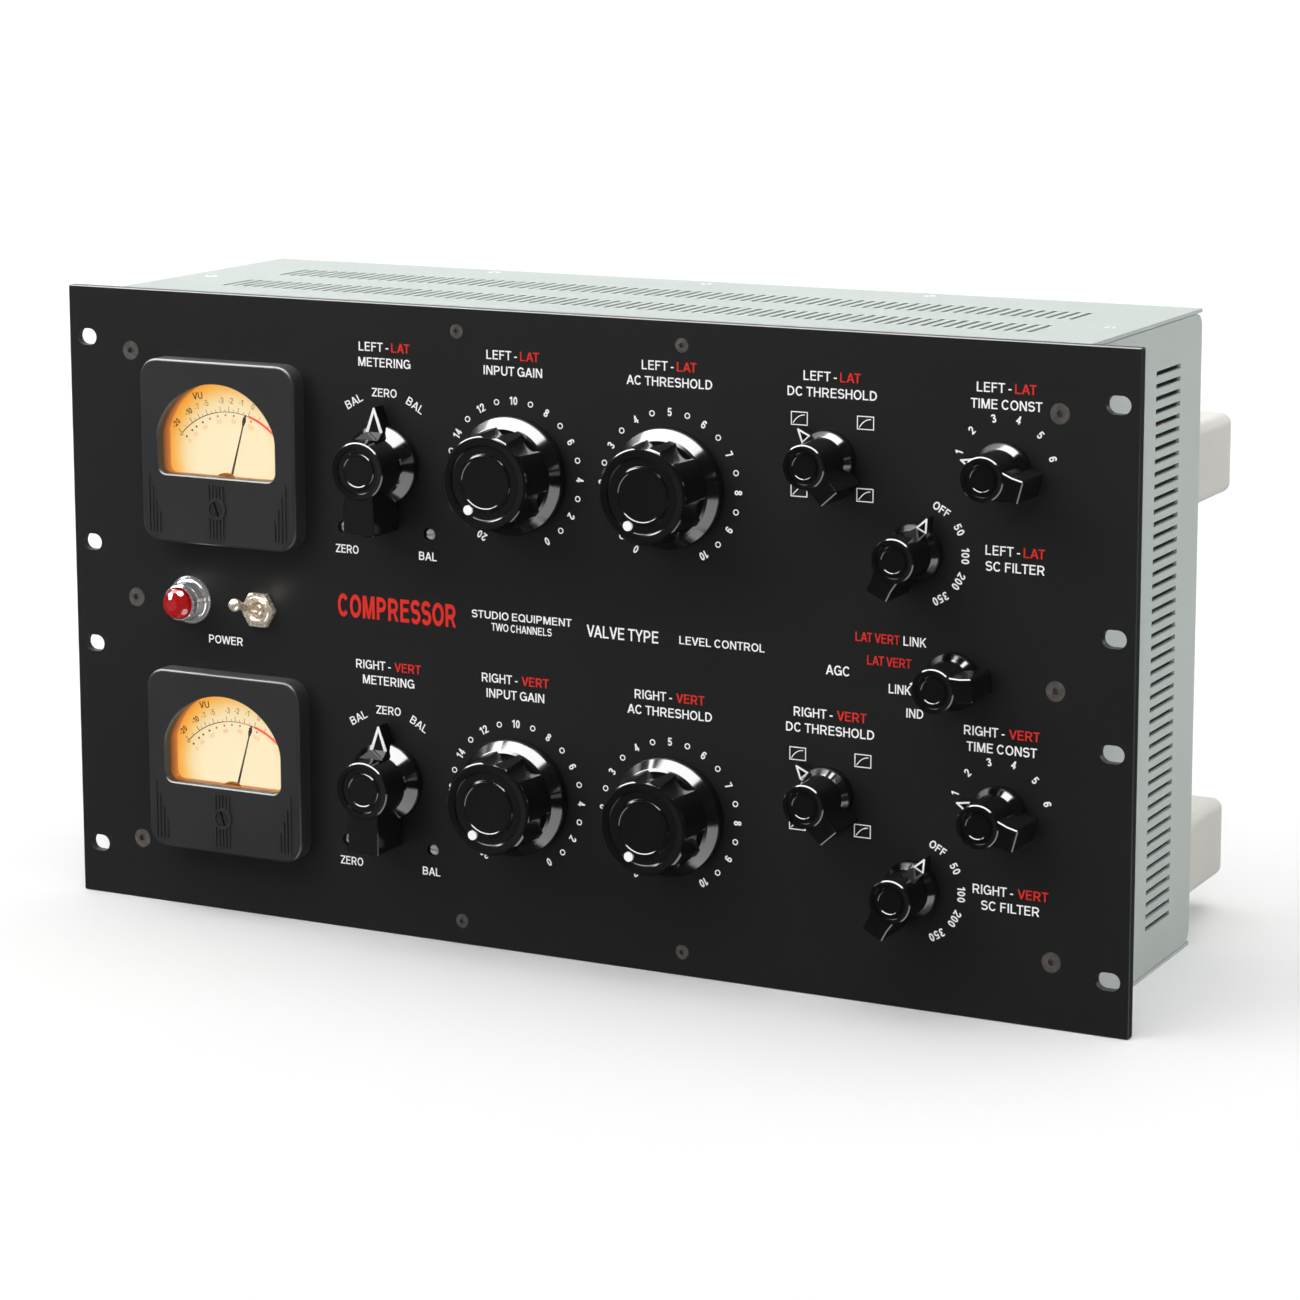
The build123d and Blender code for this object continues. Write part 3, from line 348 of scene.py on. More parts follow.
# ------------------------------------------------------------------ mesh helpers
class Ink:
    """Collects thin printed solids, in millimetres on a local plane, into one mesh."""

    def __init__(self):
        self.v, self.f = [], []

    def prism(self, pts, m, lo, hi):
        area = sum(pts[i][0] * pts[(i + 1) % len(pts)][1] - pts[(i + 1) % len(pts)][0] * pts[i][1] for i in range(len(pts)))
        if area < 0:
            pts = list(reversed(pts))
        n, b = len(pts), len(self.v)
        for h in (lo, hi):
            self.v += [m @ Vector((x * MM, y * MM, h * MM)) for x, y in pts]
        self.f.append(tuple(b + i for i in reversed(range(n))))
        self.f.append(tuple(b + n + i for i in range(n)))
        for i in range(n):
            j = (i + 1) % n
            self.f.append((b + i, b + j, b + n + j, b + n + i))

    def line(self, a, c, w, m, lo, hi):
        d = Vector((c[0] - a[0], c[1] - a[1]))
        n = Vector((-d.y, d.x)).normalized() * w / 2
        self.prism([(a[0] - n.x, a[1] - n.y), (c[0] - n.x, c[1] - n.y), (c[0] + n.x, c[1] + n.y), (a[0] + n.x, a[1] + n.y)], m, lo, hi)

    def path(self, pts, w, m, lo, hi, closed=False):
        """A mitred stroke along the points, as one closed solid."""
        n = len(pts)
        P = [Vector(p) for p in pts]
        L, R = [], []
        for i in range(n):
            a = P[i - 1] if (i > 0 or closed) else None
            c = P[(i + 1) % n] if (i < n - 1 or closed) else None
            d0 = (P[i] - a).normalized() if a is not None else None
            d1 = (c - P[i]).normalized() if c is not None else None
            d0 = d0 if d0 is not None else d1
            d1 = d1 if d1 is not None else d0
            n0, n1 = Vector((-d0.y, d0.x)), Vector((-d1.y, d1.x))
            nn = (n0 + n1)
            nn = nn / max(nn.length_squared, 1e-9) * 2
            L.append(P[i] + nn * w / 2)
            R.append(P[i] - nn * w / 2)
        b = len(self.v)
        for h in (lo, hi):
            self.v += [m @ Vector((p.x * MM, p.y * MM, h * MM)) for p in L]
            self.v += [m @ Vector((p.x * MM, p.y * MM, h * MM)) for p in R]
        segs = n if closed else n - 1
        for i in range(segs):
            j = (i + 1) % n
            l0, l1, r0, r1 = b + i, b + j, b + n + i, b + n + j
            t = 2 * n
            self.f += [(l0, l1, r1, r0), (t + l0, t + r0, t + r1, t + l1), (l0, t + l0, t + l1, l1), (r0, r1, t + r1, t + r0)]
        if not closed:
            for i, flip in ((0, False), (n - 1, True)):
                q = (b + i, b + n + i, b + 3 * n + i, b + 2 * n + i)
                self.f.append(tuple(reversed(q)) if flip else q)

    def ring(self, cx, cy, r, w, m, lo, hi, n=28):
        self.path([(cx + r * math.sin(2 * math.pi * k / n), cy + r * math.cos(2 * math.pi * k / n)) for k in range(n)], w, m, lo, hi, True)

    def arc(self, cx, cy, r, a0, a1, w, m, lo, hi, n=40):
        pts = []
        for k in range(n + 1):
            a = math.radians(a0 + (a1 - a0) * k / n)
            pts.append((cx + r * math.sin(a), cy + r * math.cos(a)))
        self.path(pts, w, m, lo, hi)

    def disc(self, cx, cy, r, m, lo, hi, n=32):
        self.prism([(cx + r * math.cos(2 * math.pi * k / n), cy + r * math.sin(2 * math.pi * k / n)) for k in range(n)], m, lo, hi)

    def text(self, s, m, cap, width=None, align="C", lo=0.0, hi=0.06, bold=0.155, cx=0.0, cy=0.0, slim=0.86, space=1.0):
        """Plain strokes, centred on cy by their capital height; width in mm fits the whole string."""
        polys, total = line_of(s, bold, space)
        k = cap
        kx = k * slim if width is None else width / max(total, 1e-6)
        ox = {"C": total / 2, "L": 0.0, "R": total}[align]
        for i, (kind, a, c) in enumerate(polys):
            top = hi + 0.002 * (i % 4)
            if kind == "poly":
                self.prism([(cx + (x - ox) * kx, cy + (y - 0.5) * k) for x, y in a], m, lo, top)
            else:
                la = [(cx + (x - ox) * kx, cy + (y - 0.5) * k) for x, y in a[0]]
                ra = [(cx + (x - ox) * kx, cy + (y - 0.5) * k) for x, y in a[1]]
                self.strip(la, ra, m, lo, top, c)
        return total * kx

    def strip(self, la, ra, m, lo, hi, closed):
        """A closed solid between two matching outlines."""
        n, b = len(la), len(self.v)
        for h in (lo, hi):
            self.v += [m @ Vector((x * MM, y * MM, h * MM)) for x, y in la]
            self.v += [m @ Vector((x * MM, y * MM, h * MM)) for x, y in ra]
        t = 2 * n
        for i in range(n if closed else n - 1):
            j = (i + 1) % n
            l0, l1, r0, r1 = b + i, b + j, b + n + i, b + n + j
            self.f += [(l0, l1, r1, r0), (t + l0, t + r0, t + r1, t + l1), (l0, t + l0, t + l1, l1), (r0, r1, t + r1, t + r0)]
        if not closed:
            for i, flip in ((0, False), (n - 1, True)):
                q = (b + i, b + n + i, b + 3 * n + i, b + 2 * n + i)
                self.f.append(tuple(reversed(q)) if flip else q)

    def obj(self, name, mat, body, slot=None):
        me = bpy.data.meshes.new(name)
        me.from_pydata([tuple(v) for v in self.v], [], self.f)
        me.validate()
        o = bpy.data.objects.new(name, me)
        scene.collection.objects.link(o)
        me.materials.append(mat)
        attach(o, body)
        return o


# ------------------------------------------------------------------ plain grotesque letters, drawn from strokes
def ell(cx, cy, rx, ry, a0, a1, n=14):
    """Points of an elliptical arc; degrees anticlockwise from +x."""
    return [(cx + rx * math.cos(math.radians(a0 + (a1 - a0) * k / n)), cy + ry * math.sin(math.radians(a0 + (a1 - a0) * k / n))) for k in range(n + 1)]


def stroke(pts, t, closed=False):
    """Two outlines either side of a centre line."""
    n = len(pts)
    p = [Vector(q) for q in pts]
    left, right = [], []
    for i in range(n):
        a = p[i - 1] if (i > 0 or closed) else None
        c = p[(i + 1) % n] if (i < n - 1 or closed) else None
        d1 = (c - p[i]).normalized() if c is not None else (p[i] - a).normalized()
        d0 = (p[i] - a).normalized() if a is not None else d1
        nn = Vector((-d0.y, d0.x)) + Vector((-d1.y, d1.x))
        nn = nn / max(nn.length_squared, 0.6) * 2
        left.append(tuple(p[i] + nn * t / 2))
        right.append(tuple(p[i] - nn * t / 2))
    return (left, right)


def letter(ch, t):
    """Strokes of one character of capital height 1: a list of (kind, shape, closed), and its width."""
    h = t / 2
    tb = t * 0.86
    out = []

    def bar(x0, y0, x1, y1):
        out.append(("poly", [(x0, y0), (x1, y0), (x1, y1), (x0, y1)], False))

    def quad(*p):
        out.append(("poly", list(p), False))

    def run(pts, closed=False, w=t):
        out.append(("strip", stroke(pts, w, closed), closed))

    def bowl(x0, xm, y0, y1, w):
        """A bowl that starts and ends on the stem."""
        ry = (y1 - y0) / 2
        rx = min(w - h - xm, ry * 1.15)
        xm2 = w - h - rx
        run([(x0, y1)] + ell(xm2, (y0 + y1) / 2, rx, ry, 90, -90, 12) + [(x0, y0)], w=t * 0.95)

    if ch == "A":
        w = 0.88
        quad((0, 0), (t * 1.12, 0), (w / 2 + 0.09, 1), (w / 2 - 0.09, 1))
        quad((w - t * 1.12, 0), (w, 0), (w / 2 + 0.09, 1), (w / 2 - 0.09, 1))
        bar(0.22, 0.25, w - 0.22, 0.25 + tb)
    elif ch == "B":
        w = 0.74
        bar(0, 0, t, 1)
        bowl(h, 0.3, 0.53, 1 - h, w - 0.03)
        bowl(h, 0.3, h, 0.53, w)
    elif ch in "CG":
        w = 0.84 if ch == "C" else 0.88
        run(ell(w / 2, 0.5, w / 2 - h, 0.5 - h + 0.012, 38, 322 if ch == "C" else 345, 26))
        if ch == "G":
            bar(w - t, 0.03, w, 0.50)
            bar(w * 0.54, 0.42, w, 0.42 + tb)
    elif ch == "D":
        w = 0.78
        bar(0, 0, t, 1)
        run([(h, 1 - h)] + ell(w - h - 0.40, 0.5, 0.40, 0.5 - h, 90, -90, 18) + [(h, h)])
    elif ch in "EF":
        w = 0.67 if ch == "E" else 0.63
        bar(0, 0, t, 1)
        bar(h, 1 - tb, w, 1)
        bar(h, 0.46, w - 0.06, 0.46 + tb)
        if ch == "E":
            bar(h, 0, w, tb)
    elif ch == "H":
        w = 0.76
        bar(0, 0, t, 1)
        bar(w - t, 0, w, 1)
        bar(h, 0.45, w - h, 0.45 + tb)
    elif ch == "I":
        w = t
        bar(0, 0, t, 1)
    elif ch == "K":
        w = 0.80
        bar(0, 0, t, 1)
        quad((t * 0.8, 0.28), (w - 0.02, 1), (w - 0.23, 1), (t * 0.8, 0.50))
        quad((0.24, 0.48), (w - 0.20, 0), (w, 0), (0.36, 0.62))
    elif ch == "L":
        w = 0.62
        bar(0, 0, t, 1)
        bar(h, 0, w, tb)
    elif ch == "M":
        w = 0.92
        bar(0, 0, t, 1)
        bar(w - t, 0, w, 1)
        quad((0, 1), (w / 2 - 0.075, 0), (w / 2 + 0.075, 0), (t * 1.35, 1))
        quad((w, 1), (w - t * 1.35, 1), (w / 2 - 0.075, 0), (w / 2 + 0.075, 0))
    elif ch == "N":
        w = 0.77
        bar(0, 0, t, 1)
        bar(w - t, 0, w, 1)
        quad((0, 1), (w - t * 1.15, 0), (w, 0), (t * 1.15, 1))
    elif ch in "OQ":
        w = 0.88
        run(ell(w / 2, 0.5, w / 2 - h, 0.5 - h + 0.012, 90, 450 - 15, 23), True)
        if ch == "Q":
            quad((0.50, 0.25), (0.78, -0.06), (0.90, 0.04), (0.62, 0.34))
    elif ch in "PR":
        w = 0.72 if ch == "P" else 0.78
        bar(0, 0, t, 1)
        bowl(h, 0.3, 0.44, 1 - h, w - (0.02 if ch == "R" else 0))
        if ch == "R":
            quad((0.34, 0.46), (w - 0.19, 0), (w, 0), (0.52, 0.46))
    elif ch in "S":
        w = 0.74
        u = ell(w / 2, 0.7225, w / 2 - h, 0.2025 + 0.008, 22, 262, 16)
        d = ell(w / 2, 0.2975, w / 2 - h + 0.005, 0.2225 + 0.008, 82, -158, 16)
        run(u + d)
    elif ch == "T":
        w = 0.74
        bar(0, 1 - tb, w, 1)
        bar(w / 2 - h, 0, w / 2 + h, 1)
    elif ch == "U":
        w = 0.77
        run([(h, 1)] + ell(w / 2, 0.36, w / 2 - h, 0.36 - h + 0.012, 180, 360, 16) + [(w - h, 1)])
    elif ch == "V":
        w = 0.84
        quad((0, 1), (w / 2 - 0.085, 0), (w / 2 + 0.085, 0), (t * 1.15, 1))
        quad((w, 1), (w - t * 1.15, 1), (w / 2 - 0.085, 0), (w / 2 + 0.085, 0))
    elif ch == "W":
        w = 1.22
        for a, c in ((0.08, 0.33), (0.61, 0.33), (0.61, 0.89), (w - 0.08, 0.89)):
            quad((a - 0.085, 1), (c - 0.085, 0), (c + 0.085, 0), (a + 0.085, 1))
    elif ch == "Y":
        w = 0.84
        quad((0, 1), (w / 2 - h, 0.40), (w / 2 + h, 0.40), (t * 1.2, 1))
        quad((w, 1), (w - t * 1.2, 1), (w / 2 - h, 0.40), (w / 2 + h, 0.40))
        bar(w / 2 - h, 0, w / 2 + h, 0.44)
    elif ch == "Z":
        w = 0.74
        bar(0, 1 - tb, w, 1)
        bar(0, 0, w, tb)
        quad((0, tb * 0.8), (t * 1.3, tb * 0.8), (w, 1 - tb * 0.8), (w - t * 1.3, 1 - tb * 0.8))
    elif ch == "0":
        w = 0.62
        run(ell(w / 2, 0.5, w / 2 - h, 0.5 - h + 0.01, 90, 435, 23), True)
    elif ch == "1":
        w = 0.42
        bar(w - t, 0, w, 1)
        quad((0, 0.68), (w - h, 0.74), (w - h, 1), (w - t, 1), (0, 0.80))
    elif ch == "2":
        w = 0.64
        run([(h, 0.66)] + ell(w / 2, 0.70, w / 2 - h, 0.30 - h + 0.01, 175, -20, 14) + [(w / 2 + 0.02, 0.36), (h + 0.02, 0.10)])
        bar(0, 0, w, tb)
    elif ch == "3":
        w = 0.64
        run(ell(w / 2 - 0.01, 0.735, w / 2 - h, 0.265 - h + 0.008, 165, -75, 14) + [(w / 2 - 0.06, 0.535)])
        run([(w / 2 - 0.06, 0.535)] + ell(w / 2 - 0.01, 0.28, w / 2 - h, 0.28 - h + 0.008, 75, -165, 14))
    elif ch == "4":
        w = 0.66
        bar(w - 0.12 - t, 0, w - 0.12, 1)
        bar(0, 0.22, w, 0.22 + tb)
        quad((0, 0.22 + tb * 0.2), (t * 1.1, 0.22 + tb * 0.2), (w - 0.12 - h, 0.86), (w - 0.12 - h, 1), (w - 0.12 - t, 1))
    elif ch == "5":
        w = 0.64
        bar(0.09, 1 - tb, w - 0.05, 1)
        quad((0.09, 1), (0.03, 0.44), (0.03 + t, 0.44), (0.09 + t * 0.95, 1))
        run([(h + 0.02, 0.46)] + ell(w / 2 - 0.01, 0.33, w / 2 - h, 0.33 - h + 0.008, 128, -160, 16))
    elif ch in "69":
        w = 0.64
        loop = ell(w / 2, 0.32, w / 2 - h, 0.32 - h + 0.008, 90, 435, 20)
        tail = ell(w / 2 + 0.02, 0.62, w / 2 - h + 0.02, 0.38 - h + 0.008, 28, 180, 12) + [(h, 0.32)]
        if ch == "9":
            loop = [(w - x, 1 - y) for x, y in loop]
            tail = [(w - x, 1 - y) for x, y in tail]
        run(loop, True)
        run(tail)
    elif ch == "7":
        w = 0.62
        bar(0, 1 - tb, w, 1)
        quad((0.14, 0), (0.14 + t * 1.1, 0), (w, 1 - tb * 0.8), (w - t * 1.15, 1 - tb * 0.8))
    elif ch == "8":
        w = 0.64
        run(ell(w / 2, 0.745, w / 2 - h - 0.02, 0.255 - h + 0.008, 90, 435, 18), True)
        run(ell(w / 2, 0.28, w / 2 - h, 0.28 - h + 0.008, 90, 435, 18), True)
    elif ch == "-":
        w = 0.34
        bar(0, 0.31, w, 0.31 + tb)
    elif ch == "+":
        w = 0.62
        bar(0, 0.43, w, 0.43 + tb)
        bar(w / 2 - h, 0.18, w / 2 + h, 0.82)
    else:
        w = 0.30
    return out, w


SIDE = {"A": 0.01, "V": 0.01, "Y": 0.01, "T": 0.02, "W": 0.01, "C": 0.05, "G": 0.05, "O": 0.05, "S": 0.045, "Q": 0.05, "Z": 0.03, " ": 0.0, "-": 0.05}


def line_of(s, t, space):
    polys, x = [], 0.0
    for i, ch in enumerate(s):
        side = SIDE.get(ch, 0.085) * space
        if i:
            x += side
            if (s[i - 1] + ch) in ("AT", "TA", "LT", "AV", "VA", "LY", "TC"):
                x -= 0.07
        shapes, w = letter(ch, t)
        for kind, a, c in shapes:
            if kind == "poly":
                polys.append((kind, [(x + p, q) for p, q in a], c))
            else:
                polys.append((kind, tuple([(x + p, q) for p, q in side_] for side_ in a), c))
        x += w
        if i < len(s) - 1:
            x += side
    return polys, x


def solid(name, verts, faces, mat, body, smooth=True, bevel=None):
    me = bpy.data.meshes.new(name)
    me.from_pydata([tuple(v) for v in verts], [], faces)
    me.validate()
    for p in me.polygons:
        p.use_smooth = smooth
    o = bpy.data.objects.new(name, me)
    scene.collection.objects.link(o)
    me.materials.append(mat)
    if bevel:
        md = o.modifiers.new("bevel", "BEVEL")
        md.width = bevel
        md.segments = 2
        md.limit_method = "ANGLE"
        md.harden_normals = False
    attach(o, body)
    return o


def lathe(profile, m, n=48):
    """Closed solid of revolution about local Z; profile of (r, h) in mm from axis to axis."""
    v, f = [], []
    rings = []
    for r, h in profile:
        if r < 1e-6:
            rings.append([len(v)])
            v.append(m @ Vector((0, 0, h * MM)))
        else:
            rings.append(list(range(len(v), len(v) + n)))
            v += [m @ Vector((r * MM * math.cos(2 * math.pi * k / n), r * MM * math.sin(2 * math.pi * k / n), h * MM)) for k in range(n)]
    for a, b in zip(rings, rings[1:]):
        for k in range(n):
            j = (k + 1) % n
            if len(a) == 1 and len(b) == 1:
                continue
            if len(a) == 1:
                f.append((a[0], b[j], b[k]))
            elif len(b) == 1:
                f.append((a[k], a[j], b[0]))
            else:
                f.append((a[k], a[j], b[j], b[k]))
    return v, f


# ------------------------------------------------------------------ printed lettering on the panel
white, red = Ink(), Ink()
P0 = face(0, 0)
C = {k: centre(k + "_shaft") for k in ("left_metering", "left_input_gain", "left_ac_threshold", "left_dc_threshold",
     "left_time_constant", "left_sc_filter", "right_metering", "right_input_gain", "right_ac_threshold",
     "right_dc_threshold", "right_time_constant", "right_sc_filter", "agc")}


# printed marks sit about points that are a little off some shafts
OFF = {"_metering": (0.2, 0.0), "_dc_threshold": (0.7, 0.8), "_time_constant": (0.2, 0.7), "_sc_filter": (0.0, -0.2)}


def about(side, key):
    c, o = C[side + key], OFF.get(key, (0.0, 0.0))
    return c.x + o[0] * MM, c.z + o[1] * MM


def two_tone(cx, cz, left_word, right_word, width, cap=3.75):
    """White word and dash followed by a red word, centred on cx."""
    head = left_word + " -"
    share = {"LAT": 0.612, "VERT": 0.567}[right_word]
    gap = 0.060
    white.text(head, P0, cap, width * (share - gap / 2), "L", cx=cx - width / 2, cy=cz)
    red.text(right_word, P0, cap, width * (1 - share - gap / 2), "R", cx=cx + width / 2, cy=cz)


def dial_label(text, radius, deg, m, cap, width=None, target=white, **kw):
    a = math.radians(deg)
    t = m @ Matrix.Translation((radius * MM * math.sin(a), radius * MM * math.cos(a), 0)) @ Matrix.Rotation(-a, 4, "Z")
    target.text(text, t, cap, width, "C", **kw)


for side, tag, w in (("left", "LAT", 24.2), ("right", "VERT", 31.2)):
    word = side.upper()
    dz = C[side + "_input_gain"].z / MM - 66.4
    for key, label, width, ox in (("_metering", "METERING", 24.8, 0.2), ("_input_gain", "INPUT GAIN", 26.9, -0.2),
                                  ("_ac_threshold", "AC THRESHOLD", 37.8, -0.2), ("_dc_threshold", "DC THRESHOLD", 37.8, -0.1),
                                  ("_time_constant", "TIME CONST", 29.0, 0.0)):
        cx = about(side, key)[0] / MM + ox
        two_tone(cx, 114.75 + dz, word, tag, w)
        white.text(label, P0, 3.75, width, cx=cx, cy=108.4 + dz)
    cx = 192.3
    two_tone(cx, 52.3 + dz, word, tag, w)
    white.text("SC FILTER", P0, 3.75, 24.0, cx=cx, cy=46.1 + dz)

    m = face(*about(side, "_metering"))
    dial_label("BAL", 29.2, -30, m, 3.5, 8.6)
    dial_label("ZERO", 29.6, 0, m, 3.5, 11.8)
    dial_label("BAL", 29.2, 30, m, 3.5, 8.6)
    for key in ("_input_gain", "_ac_threshold"):
        m = face(C[side + key].x, C[side + key].z)
        for k in range(11):
            n = str(20 - 2 * k) if key == "_input_gain" else str(k)
            dial_label(n, 30.15, -150 + 30 * k, m, 3.3, None, slim=0.90, bold=0.19)
            if k < 10:
                a = math.radians(-135 + 30 * k)
                white.ring(30.15 * math.sin(a), 30.15 * math.cos(a), 1.02, 0.46, m, 0, 0.06, 20)
    m = face(*about(side, "_time_constant"))
    for k in range(6):
        dial_label(str(k + 1), 19.7, -75 + 30 * k, m, 3.2, None, slim=0.92, bold=0.19)
    m = face(*about(side, "_sc_filter"))
    for k, (s, wd) in enumerate((("OFF", 7.4), ("50", 4.4), ("100", 6.2), ("200", 6.8), ("350", 6.8))):
        dial_label(s, 20.1, 30 + 30 * k, m, 3.3, wd, bold=0.185)
    # boxed curve symbols around the DC threshold switch
    m = face(*about(side, "_dc_threshold"))
    for k, (ix, iz) in enumerate(((-13.9, 14.0), (14.1, 14.0), (14.1, -14.2), (-13.9, -14.2))):
        white.path([(ix - 3.4, iz - 2.5), (ix + 3.4, iz - 2.5), (ix + 3.4, iz + 2.5), (ix - 3.4, iz + 2.5)], 0.38, m, 0, 0.06, True)
        bend = (0.9, 0.5, 0.1, -0.3)[k]
        pts = [(ix - 2.7, iz - 1.9), (ix - 1.3 - bend * 0.3, iz - 0.3)]
        for q in range(1, 6):
            u = q / 5
            pts.append((ix - 1.3 - bend * 0.3 + (3.6 + bend * 0.3) * u, iz - 0.3 + 1.75 * (1 - (1 - u) ** 2.2)))
        white.path(pts, 0.36, m, 0, 0.06)
    for key, s, wd in (("_zero_trimmer", "ZERO", 11.0), ("_balance_trimmer", "BAL", 8.4)):
        c = centre(side + key)
        white.text(s, P0, 3.5, wd, cx=c.x / MM + (1.6 if key[1] == "z" else -0.6), cy=c.z / MM - 9.0)

# centre strip: plain generic words
red.text("COMPRESSOR", P0, 9.6, 56.5, "L", cx=-109.0, cy=5.6, bold=0.20)
white.text("STUDIO EQUIPMENT", P0, 3.2, 46.3, cx=-21.8, cy=7.6)
white.text("TWO CHANNELS", P0, 3.2, 28.0, cx=-21.8, cy=2.8)
white.text("VALVE TYPE", P0, 4.9, 32.3, cx=24.4, cy=5.2)
white.text("LEVEL CONTROL", P0, 3.3, 37.5, cx=68.7, cy=5.2)
lamp_c, toggle_c = centre("pilot_lamp_bezel"), centre("power_switch_body")
white.text("POWER", P0, 3.5, 17.0, cx=-165.0, cy=-14.8)
ax, az = C["agc"].x / MM - 0.9, C["agc"].z / MM
white.text("AGC", P0, 3.9, 10.4, cx=ax - 48.4, cy=az - 0.9)
red.text("LAT VERT", P0, 3.7, 18.6, "L", cx=ax - 41.0, cy=az + 13.5)
white.text("LINK", P0, 3.7, 9.6, "R", cx=ax - 11.2, cy=az + 13.5)
red.text("LAT VERT", P0, 3.7, 18.6, "R", cx=ax - 17.4, cy=az + 4.6)
white.text("LINK", P0, 3.7, 9.4, "R", cx=ax - 17.4, cy=az - 5.9)
white.text("IND", P0, 3.7, 7.1, "L", cx=ax - 19.3, cy=az - 14.8)
for o in (white.obj("panel_lettering_white", INK_WHITE_PAINTED_GLOW, "chassis", "panel_black"),
          red.obj("panel_lettering_red", INK_RED, "chassis", "panel_black")):
    o.visible_glossy = False

# ------------------------------------------------------------------ meter dials
NUM = [(-47, "-20"), (-34.5, "-10"), (-27.0, "-7"), (-19.5, "-5"), (-7.5, "-3"), (-0.2, "-2"), (7.8, "-1"), (17.0, "0"), (26.0, "+1"), (35.2, "+2"), (44.0, "+3")]
DIAL_H = -2.6
for side in ("left", "right"):
    m = face(DIAL_X, PIVOTS[side], DIAL_H * MM)
    blk, fnt, rd, brn = Ink(), Ink(), Ink(), Ink()
    R = 32.6
    blk.arc(0, 0, R, -47, -10, 0.34, m, 0, 0.05)
    brn.arc(0, 0, R, -10, 17, 0.32, m, 0, 0.05)
    rd.arc(0, 0, R + 0.1, 17, 49.5, 0.95, m, 0, 0.05)
    for a, s in NUM:
        ink_ = blk if a < -30 else (brn if a < 20 else rd)
        sa, ca = math.sin(math.radians(a)), math.cos(math.radians(a))
        ink_.line((R * sa, R * ca), ((R + 2.4) * sa, (R + 2.4) * ca), 0.26, m, 0, 0.05)
        dial_label(s, R + 4.9, a + 1.5, m, 2.5, None, target=ink_, hi=0.05, bold=0.17 if a < -30 else 0.13, slim=0.86)
    for a in (-41.0, -31.0, -23.5, -15.5, -11.5, -3.6, 3.6, 12.4):
        sa, ca = math.sin(math.radians(a)), math.cos(math.radians(a))
        brn.line((R * sa, R * ca), ((R + 1.3) * sa, (R + 1.3) * ca), 0.2, m, 0, 0.05)
    for r_, a in ((30.0, -45.9), (30.2, -38.2), (30.3, -33.0), (30.5, -25.8), (30.7, -18.3), (31.0, -10.6), (31.2, -3.3), (31.2, 4.2), (31.2, 13.2), (31.2, 20.3)):
        (blk if a < -20 else brn).disc(r_ * math.sin(math.radians(a)), r_ * math.cos(math.radians(a)), 0.46, m, 0, 0.05, 14)
    for r_, a, s in ((27.6, -46.3, "0"), (27.8, -37.8, "20"), (28.2, -25.5, "40"), (28.6, -10.2, "60"), (28.8, 4.5, "80"), (28.8, 21.4, "100")):
        dial_label(s, r_, a, m, 1.8, None, target=fnt, hi=0.05, bold=0.2, slim=0.9)
    # the small stop hook at the left end
    blk.path([(-R * math.sin(math.radians(47)) - 1.2, R * math.cos(math.radians(47)) - 0.2), (-R * math.sin(math.radians(47)) - 0.2, R * math.cos(math.radians(47)) - 1.1),
              (-R * math.sin(math.radians(47)) + 0.5, R * math.cos(math.radians(47)) - 0.2)], 0.25, m, 0, 0.05)
    blk.text("VU", m @ Matrix.Translation((-15.7 * MM, 38.6 * MM, 0)) @ Matrix.Rotation(math.radians(9), 4, "Z"), 2.9, 4.9, hi=0.05, bold=0.15)
    blk.obj(side + "_dial_print_black", DIAL_BLACK, "chassis", "dial_card")
    fnt.obj(side + "_dial_print_faint", DIAL_FAINT, "chassis", "dial_card")
    brn.obj(side + "_dial_print_brown", DIAL_BROWN, "chassis", "dial_card")
    rd.obj(side + "_dial_print_red", DIAL_RED, "chassis", "dial_card")

# the lit inner frame between each window and its card
LIT_WALL = lit_wall_mat()


def frame_outline(half, low, arc_r, arc_z):
    """The window's outline: straight sides, a round arch, small lower corners."""
    pts = []
    for k in range(7):
        a = math.radians(180 + 90 * k / 6)
        pts.append((-half + 3.5 + 3.5 * math.cos(a), low + 3.5 + 3.5 * math.sin(a)))
    for k in range(7):
        a = math.radians(270 + 90 * k / 6)
        pts.append((half - 3.5 + 3.5 * math.cos(a), low + 3.5 + 3.5 * math.sin(a)))
    lim = math.degrees(math.asin(min(1.0, half / arc_r)))
    for k in range(41):
        a = math.radians(lim - 2 * lim * k / 40)
        pts.append((arc_r * math.sin(a), arc_z + arc_r * math.cos(a)))
    return pts


for side in ("left", "right"):
    m = face(DIAL_X, METER_Z[side])
    fr = Ink()
    fr.strip(frame_outline(30.2, -11.1, 31.5, -0.7), frame_outline(29.8, -10.7, 31.1, -0.7), m, DIAL_H + 0.02, 3.3, True)
    fr.obj(side + "_meter_inner_frame", LIT_WALL, "chassis", "dial_card")

# ------------------------------------------------------------------ marks on the knobs
REST = {"left_metering": 0.0, "right_metering": 0.0, "left_input_gain": -146.5, "right_input_gain": -149.5,
        "left_ac_threshold": -153.5, "right_ac_threshold": -153.5, "left_dc_threshold": -42.0, "right_dc_threshold": -42.0,
        "left_time_constant": -75.0, "right_time_constant": -75.0, "left_sc_filter": 26.0, "right_sc_filter": 28.0, "agc": -96.0}


